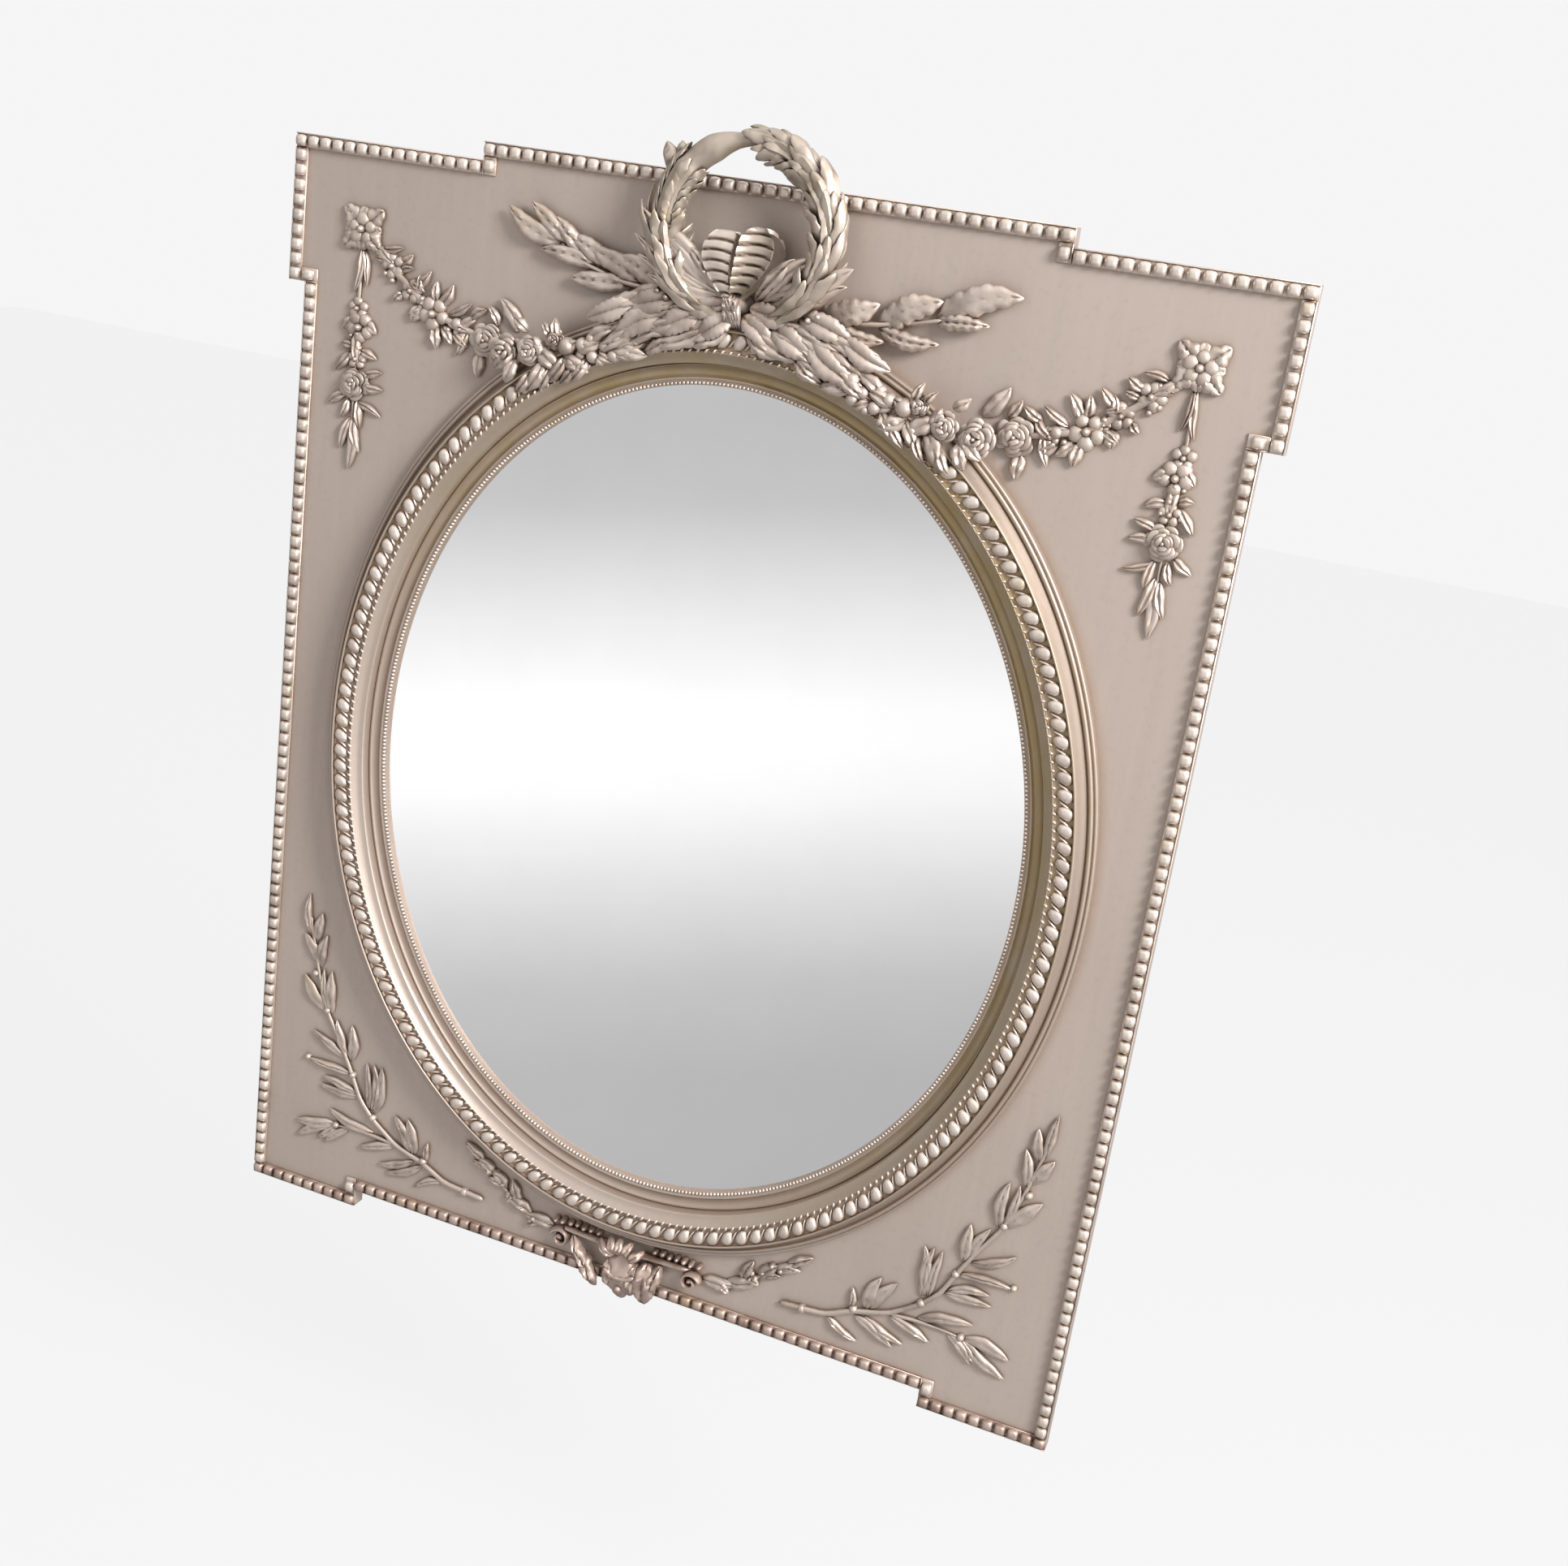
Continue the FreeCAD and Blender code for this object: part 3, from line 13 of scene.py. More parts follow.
import bmesh
import bpy
import numpy as np
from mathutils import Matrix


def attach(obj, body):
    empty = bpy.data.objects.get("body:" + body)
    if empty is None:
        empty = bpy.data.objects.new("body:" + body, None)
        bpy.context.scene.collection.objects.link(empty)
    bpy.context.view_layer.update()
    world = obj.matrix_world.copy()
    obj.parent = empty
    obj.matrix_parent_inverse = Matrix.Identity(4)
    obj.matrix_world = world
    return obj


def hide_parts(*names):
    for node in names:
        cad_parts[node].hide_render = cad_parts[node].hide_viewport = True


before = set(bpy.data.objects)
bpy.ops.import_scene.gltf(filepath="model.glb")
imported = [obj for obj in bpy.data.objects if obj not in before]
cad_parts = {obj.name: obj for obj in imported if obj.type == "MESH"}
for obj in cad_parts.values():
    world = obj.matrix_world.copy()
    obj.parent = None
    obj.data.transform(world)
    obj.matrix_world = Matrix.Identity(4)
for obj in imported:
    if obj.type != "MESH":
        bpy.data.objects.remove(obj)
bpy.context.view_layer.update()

# %% [markdown]
# ## Places
# The carver's measurements are in millimetres: across from the middle, up from the feet,
# and out from the face of the board. One function turns them into the frame's metres, so
# every table below can be read with a ruler in hand.

# %% The board's own measurements
HANG_LINE = 970.0          # height of the frame's origin above the feet
BOARD_OUT = 30.0           # the board's face stands this far off the wall
BODY_HALF = 425.0          # half the board's width below the ears
OVAL_UP = 506.0            # height of the middle of the oval
SIGHT_HALF = 306.0         # half the width of the glass in sight
SIGHT_TALL = 371.0         # half its height
CREST_HIGH = 24.0          # the oval moulding's crest stands this far off the board
KNOT_UP = 942.0            # height of the bow's knot
RIGHT, LEFT = 1.0, -1.0    # the sides, as multipliers of the distance from the middle
random = np.random.default_rng(1041)       # seeded, so that every run carves alike
print("glass in sight: %g by %g mm" % (2 * SIGHT_HALF, 2 * SIGHT_TALL))


def placed(across, up, out):
    """Points in metres in the model's frame, from arrays of across, up and out in mm."""
    across, up, out = np.broadcast_arrays(across, up, out)
    return np.stack([across, -BOARD_OUT - out, up - HANG_LINE], axis=-1) / 1000.0


# %% [markdown]
# ## Skins
# Leaves, petals, berries, stems and pearls are all the same kind of surface: a row of
# closed rings whose first and last ring shrink to a point. Each could be a mesh copied
# many times, but then all would be alike. One function joins the rings for any number of
# copies at once, so a whole branch is a few array sums and each leaf has its own shape.

# %% Rings joined into closed skins
def round_turn(count):
    """Equal angles once round, in radians."""
    return 2 * np.pi * np.arange(count) / count


def skins(points):
    """Corners and faces of closed skins from an array (copies, rings, around, xyz).

    Ring r is joined to ring r + 1 by four-sided faces. The first and last ring hold one
    point each, and a fan of triangles closes the skin there.
    """
    copies, rings, around, _ = points.shape
    inner = points[:, 1:-1].reshape(copies, -1, 3)
    corners = np.concatenate([points[:, :1, 0], inner, points[:, -1:, 0]], axis=1)
    total = corners.shape[1]
    ring = 1 + np.arange((rings - 2) * around).reshape(rings - 2, around)
    onward = np.roll(ring, -1, axis=1)
    quads = np.stack([ring[:-1], ring[1:], onward[1:], onward[:-1]], axis=-1).reshape(-1, 4)
    foot = np.stack([np.zeros(around, int), ring[0], onward[0]], axis=-1)
    tip = np.stack([np.full(around, total - 1), onward[-1], ring[-1]], axis=-1)
    step = np.arange(copies)[:, None, None] * total
    fans = np.concatenate([foot, tip])
    return corners.reshape(-1, 3), (quads + step).reshape(-1, 4), (fans + step).reshape(-1, 3)


def loops(points):
    """Corners and faces of a closed tube: rings (rings, around, xyz) joined both ways."""
    rings, around, _ = points.shape
    ring = np.arange(rings * around).reshape(rings, around)
    nearer, onward = np.roll(ring, -1, axis=0), np.roll(ring, -1, axis=1)
    both = np.roll(nearer, -1, axis=1)
    quads = np.stack([ring, nearer, both, onward], axis=-1).reshape(-1, 4)
    return points.reshape(-1, 3), quads, np.zeros((0, 3), int)


# %% One piece from several skins
def make_piece(name, parts, finish, *nodes, crease=50, gold=None):
    """One object from several (corners, quads, triangles), in place of its CAD nodes.

    gold, if given, is one number for each corner, kept as the attribute "gold".
    """
    corners, faces, start = [], [], 0
    for points, quads, triangles in parts:
        corners.append(points)
        faces += (quads + start).tolist() + (triangles + start).tolist()
        start += len(points)
    mesh = bpy.data.meshes.new(name)
    mesh.from_pydata(np.concatenate(corners).tolist(), [], faces)
    work = bmesh.new()
    work.from_mesh(mesh)
    bmesh.ops.recalc_face_normals(work, faces=work.faces)
    work.to_mesh(mesh)
    work.free()
    mesh.polygons.foreach_set("use_smooth", np.ones(len(mesh.polygons), bool))
    mesh.set_sharp_from_angle(angle=math.radians(crease))
    mesh.materials.append(finish)
    if gold is not None:
        tint = mesh.attributes.new("gold", "FLOAT", "POINT")
        tint.data.foreach_set("value", gold)
    piece = bpy.data.objects.new(name, mesh)
    bpy.context.scene.collection.objects.link(piece)
    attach(piece, "mirror_frame")
    if nodes:
        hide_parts(*nodes)
    print(name, len(mesh.polygons), "faces")


# %% [markdown]
# ## Finishes
# The whole mirror was painted a warm taupe and rubbed with champagne gilt: bright on the
# high places, brown where glazing stayed in the hollows. Ambient Occlusion finds those
# hollows from the shape itself, where a rag would have left the glazing, and darkens them:
# on the gilt that is glazing and painted shade together, on the paint it is painted shade.
# Every finish is a small tree of nodes, and most need the same few: noise, a colour ramp,
# a product of colours and a bump. The helpers below make those.

# %% Small helpers for node materials
def node_kit(tree):
    """Shorthands for one node tree: feed fills a node's inputs, add makes and feeds a node.

    An input goes by its name or number, and takes a plain value or another node's output.
    """
    def feed(node, inputs):
        for key, value in inputs.items():
            if isinstance(value, bpy.types.NodeSocket):
                tree.links.new(value, node.inputs[key])
            else:
                node.inputs[key].default_value = value
        return node

    def add(kind, inputs=None, **settings):
        node = tree.nodes.new("ShaderNode" + kind)
        for key, value in settings.items():
            setattr(node, key, value)
        return feed(node, inputs or {})

    return feed, add


def new_finish(name, slot):
    """A new material for a slot, with its Principled shader and its two shorthands."""
    finish = bpy.data.materials.new(name)
    finish.use_nodes = True
    finish["slot"] = slot
    return finish, finish.node_tree.nodes["Principled BSDF"], *node_kit(finish.node_tree)


def ramp(add, source, *stops):
    """A Color Ramp with (position, colour) stops, fed by one output."""
    node = add("ValToRGB", {"Fac": source})
    band = node.color_ramp.elements
    for _ in stops[2:]:
        band.new(0.5)
    for element, (position, colour) in zip(band, stops):
        element.position = position
        element.color = (*colour, 1.0)
    return node.outputs["Color"]


def noise(add, scale, detail, stretch=(1.0, 1.0, 1.0)):
    """Noise on Object coordinates, stretched along the axes."""
    place = add("TexCoord").outputs["Object"]
    shape = add("Mapping", {"Vector": place, "Scale": stretch}).outputs["Vector"]
    return add("TexNoise", {"Vector": shape, "Scale": scale, "Detail": detail,
                            "Roughness": 0.6}).outputs["Fac"]


def mixed(add, amount, first, second, mode="MIX"):
    """Two colours mixed by an amount, or multiplied where the mode says so."""
    return add("Mix", {0: amount, 6: first, 7: second}, data_type="RGBA",
               blend_type=mode).outputs[2]


def times(add, *colours):
    """The product of two or more colours."""
    product = colours[0]
    for colour in colours[1:]:
        product = mixed(add, 1.0, product, colour, "MULTIPLY")
    return product


def between(add, source, low, high):
    """An output that runs from 0 to 1, carried to run from low to high."""
    return add("MapRange", {"Value": source, "To Min": low, "To Max": high}).outputs["Result"]


def hollows(add, reach, dark, full):
    """Ambient Occlusion as a colour, which paints shade: dark in hollows within reach, white
    from full on.
    """
    node = add("AmbientOcclusion", {"Distance": reach}, samples=6)
    return ramp(add, node.outputs["AO"], (0.30, dark), (full, WHITE))


def bumps(add, height, strength, distance):
    """Fine relief for the shader's normal."""
    return add("Bump", {"Height": height, "Strength": strength,
                        "Distance": distance}).outputs["Normal"]


WHITE = (1.0, 1.0, 1.0)


# %% [markdown]
# ### Taupe paint
# The board was brushed with a flat paint that has clouded and rubbed with age. A picture
# of paint would stretch over the mouldings. Noise on Object coordinates has the same
# grain on every piece and no seams, so three noises are multiplied: clouds, upright brush
# marks and small rubs. The mouldings also carry old gold, as much as their mesh says.

# %% Taupe paint of the board and mouldings
OLD_GOLD = (0.370, 0.275, 0.140, 1.0)


def taupe_paint(name, slot, gold_from=None, metal=0.15):
    """Flat paint with faint brush marks, cloudy warmth, and small rubs.

    Where gold_from names an attribute, the paint turns to old gold by that much, broken
    up by noise as rubbed gold is.
    """
    finish, shader, feed, add = new_finish(name, slot)
    clouds = noise(add, 2.6, 2.0)
    marks = noise(add, 9.0, 4.0, (14.0, 14.0, 0.7))
    specks = noise(add, 160.0, 2.0)
    base = ramp(add, clouds, (0.30, (0.430, 0.352, 0.303)), (0.72, (0.470, 0.390, 0.337)))
    streak = ramp(add, marks, (0.35, (0.975, 0.975, 0.975)), (0.68, (1.015, 1.01, 1.01)))
    rubs = ramp(add, specks, (0.26, (0.95, 0.95, 0.95)), (0.46, WHITE))
    colour = times(add, base, streak, rubs)
    if gold_from:
        tint = add("Attribute", attribute_name=gold_from).outputs["Fac"]
        broken = add("Math", {0: noise(add, 30.0, 4.0), 1: tint}, operation="MULTIPLY")
        amount = add("Math", {0: broken.outputs[0], 1: 1.9}, operation="MULTIPLY",
                     use_clamp=True)
        colour = mixed(add, amount.outputs[0], colour, OLD_GOLD)
    # Ambient Occlusion darkens the paint in corners, channels and round the carving: painted
    # shade.
    painted_shade = hollows(add, 0.010, (0.72, 0.63, 0.54), 0.90)
    feed(shader, {"Base Color": times(add, colour, painted_shade), "Roughness": 0.40,
                  "Metallic": metal, "Normal": bumps(add, marks, 0.05, 0.0004)})
    return finish


# %% [markdown]
# ### Champagne gilt
# The carving was gilded, rubbed thin and glazed brown. A full metal would turn black where
# it mirrors the dark side of the room, so the shader is a little over half metal. Noise
# breaks the gold into patches, and a fine grain changes the roughness, so that highlights
# sparkle unevenly. The brown in the hollows is glazing and painted shade together. It comes
# in four states: the main carving, a browner one on the wreath, a bright one on pearls and
# eggs, and a darker worn one on the cartouche, which the pearl strips along the bottom edge
# take as painted shade.

# %% Champagne gilt of the carved pieces
def gilt(name, light, dark, glaze_and_shade, rough, metal=0.55, reach=0.006):
    """Rubbed gilt: light on the open faces, dark in patches, brown in the hollows as glazing
    and painted shade.
    """
    finish, shader, feed, add = new_finish(name, "gilding")
    patches = noise(add, 22.0, 3.0)
    grain = noise(add, 420.0, 2.0)
    gold = (light[0] * 0.80, light[1] * 0.74, light[2] * 0.58)
    base = ramp(add, patches, (0.34, dark), (0.48, light), (0.60, light), (0.76, gold))
    # Ambient Occlusion darkens the hollows to brown: glazing, and painted shade with it.
    feed(shader, {"Base Color": times(add, base, hollows(add, reach, glaze_and_shade, 0.88)),
                  "Metallic": metal,
                  "Roughness": between(add, grain, rough - 0.08, rough + 0.10),
                  "Normal": bumps(add, grain, 0.10, 0.0003)})
    return finish


# %% [markdown]
# ### Looking glass, wood and metal
# A looking glass is a clear sheet silvered behind. Two surfaces would cost a second
# bounce that nobody sees, so one almost smooth metal face stands for both, with a faint
# haze of wear. The wood and the dull metal are seen only from behind: grain is noise
# stretched along the plank, and tarnish is noise in clouds.

# %% Looking glass
def looking_glass():
    """Silvered glass: a near-perfect mirror with a faint haze of wear."""
    finish, shader, feed, add = new_finish("looking_glass", "looking_glass")
    haze = noise(add, 14.0, 5.0)
    tint = ramp(add, haze, (0.25, (0.962, 0.956, 0.960)), (0.7, (0.990, 0.984, 0.988)))
    feed(shader, {"Base Color": tint, "Metallic": 1.0,
                  "Roughness": between(add, haze, 0.02, 0.05)})
    return finish


# %% Bare wood of the battens and backing
def bare_wood(name, slot, along, light, dark):
    """Sawn wood: grain is noise stretched along the plank, with darker rings."""
    finish, shader, feed, add = new_finish(name, slot)
    stretch = (1.6, 22.0, 22.0) if along == "x" else (22.0, 22.0, 1.6)
    rings = noise(add, 3.0, 5.0, stretch)
    fibres = noise(add, 12.0, 3.0, tuple(4 * value for value in stretch))
    base = ramp(add, rings, (0.30, dark), (0.70, light))
    fine = ramp(add, fibres, (0.30, (0.82, 0.80, 0.78)), (0.62, WHITE))
    feed(shader, {"Base Color": times(add, base, fine), "Roughness": 0.72,
                  "Normal": bumps(add, fibres, 0.35, 0.0008)})
    return finish


# %% Dulled metal of the hangers, buttons and screws
def dull_metal(name, slot, bright, tarnish):
    """Old metal: tarnish in clouds, with a rougher skin where it is dark."""
    finish, shader, feed, add = new_finish(name, slot)
    clouds = noise(add, 60.0, 4.0)
    feed(shader, {"Base Color": ramp(add, clouds, (0.35, tarnish), (0.62, bright)),
                  "Metallic": 1.0, "Roughness": between(add, clouds, 0.55, 0.28)})
    return finish


# %% All the finishes
PAINT = taupe_paint("taupe_paint", "painted_board")
MOULD_PAINT = taupe_paint("moulding_paint", "painted_moulding", "gold", metal=0.5)
GILT = gilt("champagne_gilt", (0.57, 0.475, 0.41), (0.39, 0.31, 0.26),
            (0.19, 0.13, 0.092), 0.45, metal=0.58)
WREATH_GILT = gilt("wreath_gilt", (0.49, 0.41, 0.34), (0.33, 0.27, 0.205),
                   (0.22, 0.16, 0.115), 0.46, metal=0.58)
BEAD_GILT = gilt("pearl_gilt", (0.70, 0.60, 0.525), (0.53, 0.44, 0.375),
                 (0.30, 0.22, 0.165), 0.36, reach=0.004)
# Worn gilt of the cartouche, darker and browner; the bottom pearl strips take it as painted
# shade.
WORN_AND_SHADED_GILT = gilt("worn_and_shaded_gilt", (0.52, 0.40, 0.34), (0.30, 0.205, 0.165),
                 (0.24, 0.16, 0.12), 0.38)
GLASS = looking_glass()
PINE = (0.42, 0.29, 0.18), (0.27, 0.17, 0.10)
RAIL_WOOD = bare_wood("rail_wood", "bare_wood", "x", *PINE)
STILE_WOOD = bare_wood("stile_wood", "bare_wood", "z", *PINE)
BACK_WOOD = bare_wood("backing_wood", "backing_wood", "z", (0.36, 0.25, 0.16),
                      (0.24, 0.15, 0.09))
BRASS = dull_metal("dull_brass", "brass", (0.60, 0.46, 0.22), (0.26, 0.19, 0.10))
STEEL = dull_metal("dull_steel", "steel", (0.48, 0.48, 0.47), (0.22, 0.21, 0.20))
print("finishes:", len(bpy.data.materials))

# %% [markdown]
# ## Mouldings round the glass
# An oval moulding is one profile carried round an ellipse. Scaling an ellipse outwards
# would make the moulding wider at the top than at the sides. Here each point steps
# straight out from the sight edge, square to it, so the moulding keeps its width all
# round. Old gold is rubbed along its edges, so each corner of the mesh carries an amount.

# %% The oval path
def oval_frame(count, margin=0.0, shift=0.0):
    """Points evenly spaced on the oval margin mm outside the sight edge, and the way out.

    The point at angle t is (a cos t, b sin t); the way out is (b cos t, a sin t) made one
    long, and the angles are chosen so that the steps along the curve are equal. shift
    moves every point along by that many steps.
    """
    fine = np.linspace(0, 2 * np.pi, 7201)
    x, z = SIGHT_HALF * np.cos(fine), SIGHT_TALL * np.sin(fine)
    out_x, out_z = SIGHT_TALL * np.cos(fine), SIGHT_HALF * np.sin(fine)
    size = np.hypot(out_x, out_z)
    x, z = x + margin * out_x / size, z + margin * out_z / size
    run = np.concatenate([[0], np.cumsum(np.hypot(np.diff(x), np.diff(z)))])
    spots = (np.arange(count) + shift) % count
    turn = np.interp(spots * run[-1] / count, run, fine)
    way = np.stack([SIGHT_TALL * np.cos(turn), SIGHT_HALF * np.sin(turn)], axis=-1)
    way /= np.linalg.norm(way, axis=-1, keepdims=True)
    edge = np.stack([SIGHT_HALF * np.cos(turn), SIGHT_TALL * np.sin(turn)], axis=-1)
    return edge + margin * way, way, run[-1]


def arc(middle, radius, start, stop, steps):
    """Points on an arc of the profile, angles in degrees from straight out."""
    turn = np.radians(np.linspace(start, stop, steps))
    return [(middle[0] + radius * math.cos(t), middle[1] + radius * math.sin(t)) for t in turn]


def gilded_moulding(name, profile, count, gold_out, gold, node):
    """A closed profile of (out, high) carried round the oval, with gold rubbed on it.

    gold is given at the distances gold_out from the sight edge. Round the oval it changes
    by 0.46 + 0.54 cos(angle - 45 degrees), at least 0.05: most of it is high on the right.
    """
    profile = np.array(profile, float)
    edge, way, _ = oval_frame(count)
    flat = edge[:, None, :] + way[:, None, :] * profile[None, :, :1]
    tube = loops(placed(flat[..., 0], OVAL_UP + flat[..., 1], profile[None, :, 1]))
    share = np.maximum(0.05, 0.46 + 0.54 * np.cos(round_turn(count) - np.pi / 4))
    gold = np.outer(share, np.interp(profile[:, 0], gold_out, gold)).ravel()
    make_piece(name, [tube], MOULD_PAINT, node, crease=40, gold=gold)


# %% The cove beside the glass and the main moulding
cove = ([(0, 0), (0, 4.0), (3.6, 4.2)] + arc((5.6, 3.6), 1.5, 150, 20, 6)
        + arc((11.2, 8.2), 5.6, 218, 322, 9) + arc((16.6, 3.5), 1.4, 150, 0, 6) + [(18, 0)])
gilded_moulding("cove_moulding", cove, 360, [0, 5, 8, 15, 18], [0.5, 0.3, 1.2, 1.0, 0.7],
                "sight_moulding")

slope = [(18, 0), (18, 13.6)] + arc((19.6, 13.6), 1.5, 170, 105, 4)
slope += [(19.6 + 8 * t, 15.2 + 6.4 * t ** 1.6) for t in (0.25, 0.5, 0.75, 1.0)]
channel = [(28.4, 21.2), (28.8, 19.8), (30, 19.2), (44.4, 19.2), (45, 19.8), (45.2, 23.2)]
crest = arc((46.0, 23.0), 1.0, 170, 20, 5)
fall = [(47.4 + 6.4 * t, 22.4 - 13.0 * t ** 0.62) for t in (0.12, 0.3, 0.5, 0.7, 0.88, 1.0)]
steps = (arc((56.4, 10.2), 2.0, 190, 0, 8) + [(58.7, 9.2)]
         + arc((60.3, 8.4), 1.7, 150, -5, 7) + [(62, 0)])
gilded_moulding("main_moulding", slope + channel + crest + fall + steps, 420,
                [18, 19, 22, 28, 44, 46, 48, 53, 55, 62],
                [0.9, 0.8, 0.75, 0.70, 1.0, 0.5, 0.10, 0.10, 0.35, 0.10], "oval_moulding")

# %% [markdown]
# ## Eggs, darts and beads
# About 160 half eggs lie in the channel, with a thin dart between each pair, and nearly
# 600 small beads edge the glass. A modifier could carry one egg round a curve, but it
# would bend each one. Arrays of places and ways set whole rows at once and keep every egg
# true. Each has only a few dozen faces, because it is repeated so often. The eggs are
# drops that all lean one way, so the darts between them read as a row of S curves, and
# short flutes run out over the inner slope.

# %% Rounded studs carried to many places
def studs(places, ways, half_long, half_wide, high, floor, blunt=1.0, squareness=2.0,
          around=12, levels=(0.0, 0.5, 0.82, 0.96), boxy=2.0):
    """Half-round studs: at each place an oval dome, its long axis pointing along the way.

    A ring at level h is the outline shrunk to (1 - h^boxy)^(1 / boxy), raised to h times
    the height; two makes a round dome and more makes a fuller one. The outline is a
    rounded square: |cos| and |sin| to the power 2 / squareness. A blunt below one narrows
    the end that points back.
    """
    turn = round_turn(around)
    bend = 2.0 / squareness
    long_way = np.sign(np.cos(turn)) * np.abs(np.cos(turn)) ** bend
    wide_way = np.sign(np.sin(turn)) * np.abs(np.sin(turn)) ** bend
    wide_way = wide_way * (blunt + (1 - blunt) * (long_way + 1) / 2)
    level = np.array(levels)
    shrink = (1 - level ** boxy) ** (1 / boxy)
    shrink = np.concatenate([[0], shrink, [0]])
    level = np.concatenate([[0], level, [1]])
    u = (shrink[:, None] * long_way * half_long)[None]
    v = (shrink[:, None] * wide_way * half_wide)[None]
    way_x, way_z = ways[:, 0, None, None], ways[:, 1, None, None]
    across = places[:, 0, None, None] + way_x * u - way_z * v
    up = places[:, 1, None, None] + way_z * u + way_x * v
    out = np.broadcast_to(floor + high * level[None, :, None], across.shape)
    return skins(placed(across, up, out))


# %% Egg and dart band
EGGS, EGG_OUT, EGG_LEAN = 161, 38.4, -30.0      # how many, mm from the sight edge, degrees
CHANNEL_FLOOR = 19.2
EGG_SIZE = (8.0, 6.8, 4.7)                      # half length, half width, height
FLUTE_SIZE = (2.8, 1.4, 3.8)
DARTS = [(0.46, 37.0, (6.8, 1.3, 2.9)),         # steps along, out, size
         (0.50, 28.6, FLUTE_SIZE), (0.00, 28.6, FLUTE_SIZE)]
oval_middle = np.array([0, OVAL_UP])


def leaning(ways, degrees):
    """Ways turned in the plane of the board, anticlockwise from the front."""
    lean = math.radians(degrees)
    x, z = ways[:, 0], ways[:, 1]
    return np.stack([x * math.cos(lean) - z * math.sin(lean),
                     x * math.sin(lean) + z * math.cos(lean)], axis=-1)


places, ways, run = oval_frame(EGGS, EGG_OUT)
parts = [studs(places + oval_middle, leaning(ways, EGG_LEAN), *EGG_SIZE, CHANNEL_FLOOR,
               blunt=0.68, squareness=2.1, boxy=2.3)]
print("egg pitch %.2f mm" % (run / EGGS))
for shift, out, size in DARTS:
    places, ways, _ = oval_frame(EGGS, out, shift)
    parts.append(studs(places + oval_middle, leaning(ways, EGG_LEAN - 8), *size,
                       CHANNEL_FLOOR, around=8, levels=(0.0, 0.7)))
make_piece("egg_and_dart", parts, BEAD_GILT, "egg_and_dart_band")

# %% Fine beading at the glass
BEADS, BEAD_OUT, BEAD_FLOOR = 590, 1.8, 4.0
BEAD_SIZE = (1.75, 1.65, 1.9)
places, ways, run = oval_frame(BEADS, BEAD_OUT)
print("bead pitch %.2f mm" % (run / BEADS))
beads = studs(places + oval_middle, ways, *BEAD_SIZE, BEAD_FLOOR, around=8,
              levels=(0.0, 0.6, 0.9))
make_piece("fine_beading", [beads], BEAD_GILT, "sight_beading")

# %% [markdown]
# ## Pearl border
# Strips of moulded pearls are glued along every edge. Each pearl is a flattened, almost
# square bead, and a thin fillet stands along the strip's outer side. The strips are cut
# and butted at the corners, as on the real board. One long bent strip would need mitred
# pearls, which no maker casts. A tenth of a millimetre of chance in each pearl's place
# keeps the rows from looking machined.

# %% Strips of pearls
STRIPS = {                  # from and to across, from and to up, side of the fillet
    "crest_pearls": (-256, 256, 1029, 1041, "up"),
    "bottom_pearls": (-303, 303, 18, 30, "down"),
    "crest_return_pearl": (244, 256, 1014, 1029, "out"),
    "ear_top_pearls": (256, 442, 1014, 1026, "up"),
    "ear_side_pearls": (430, 442, 901, 1014, "out"),
    "ear_under_pearl": (413, 430, 901, 913, "down"),
    "side_pearls": (413, 425, 12, 901, "out"),
    "foot_pearls": (303, 425, 0, 12, "down"),
    "foot_return_pearl": (303, 315, 12, 30, "in"),
}
PEARL_PITCH, PEARL_SIZE, PEARL_FLOOR = 12.0, (5.6, 5.3, 5.4), 2.0
STRIP_HIGH, FILLET_HIGH, FILLET_WIDE = 2.2, 3.4, 1.2
ASIDE = 0.5                 # the pearls lie this far from the middle, off the fillet
CHANCE = 0.12               # how far a pearl strays from its place


def bar(low_x, high_x, low_z, high_z, low, high, round_off):
    """A flat bar on the board with rounded upper edges."""
    middle_x, middle_z = (low_x + high_x) / 2, (low_z + high_z) / 2
    half_x, half_z = (high_x - low_x) / 2, (high_z - low_z) / 2
    shrink = np.array([0, 0, round_off * 0.3, round_off])
    level = np.array([low, high - round_off, high - round_off * 0.3, high])
    sign_x, sign_z = np.array([1, -1, -1, 1]), np.array([1, 1, -1, -1])
    x = middle_x + sign_x * (half_x - shrink[:, None])
    z = middle_z + sign_z * (half_z - shrink[:, None])
    ends = np.array([[middle_x], [middle_z]]) * np.ones((2, 4))
    x = np.concatenate([ends[:1], x, ends[:1]])
    z = np.concatenate([ends[1:], z, ends[1:]])
    out = np.concatenate([[low], level, [high]])[:, None] * np.ones(4)
    return skins(placed(x, z, out)[None])


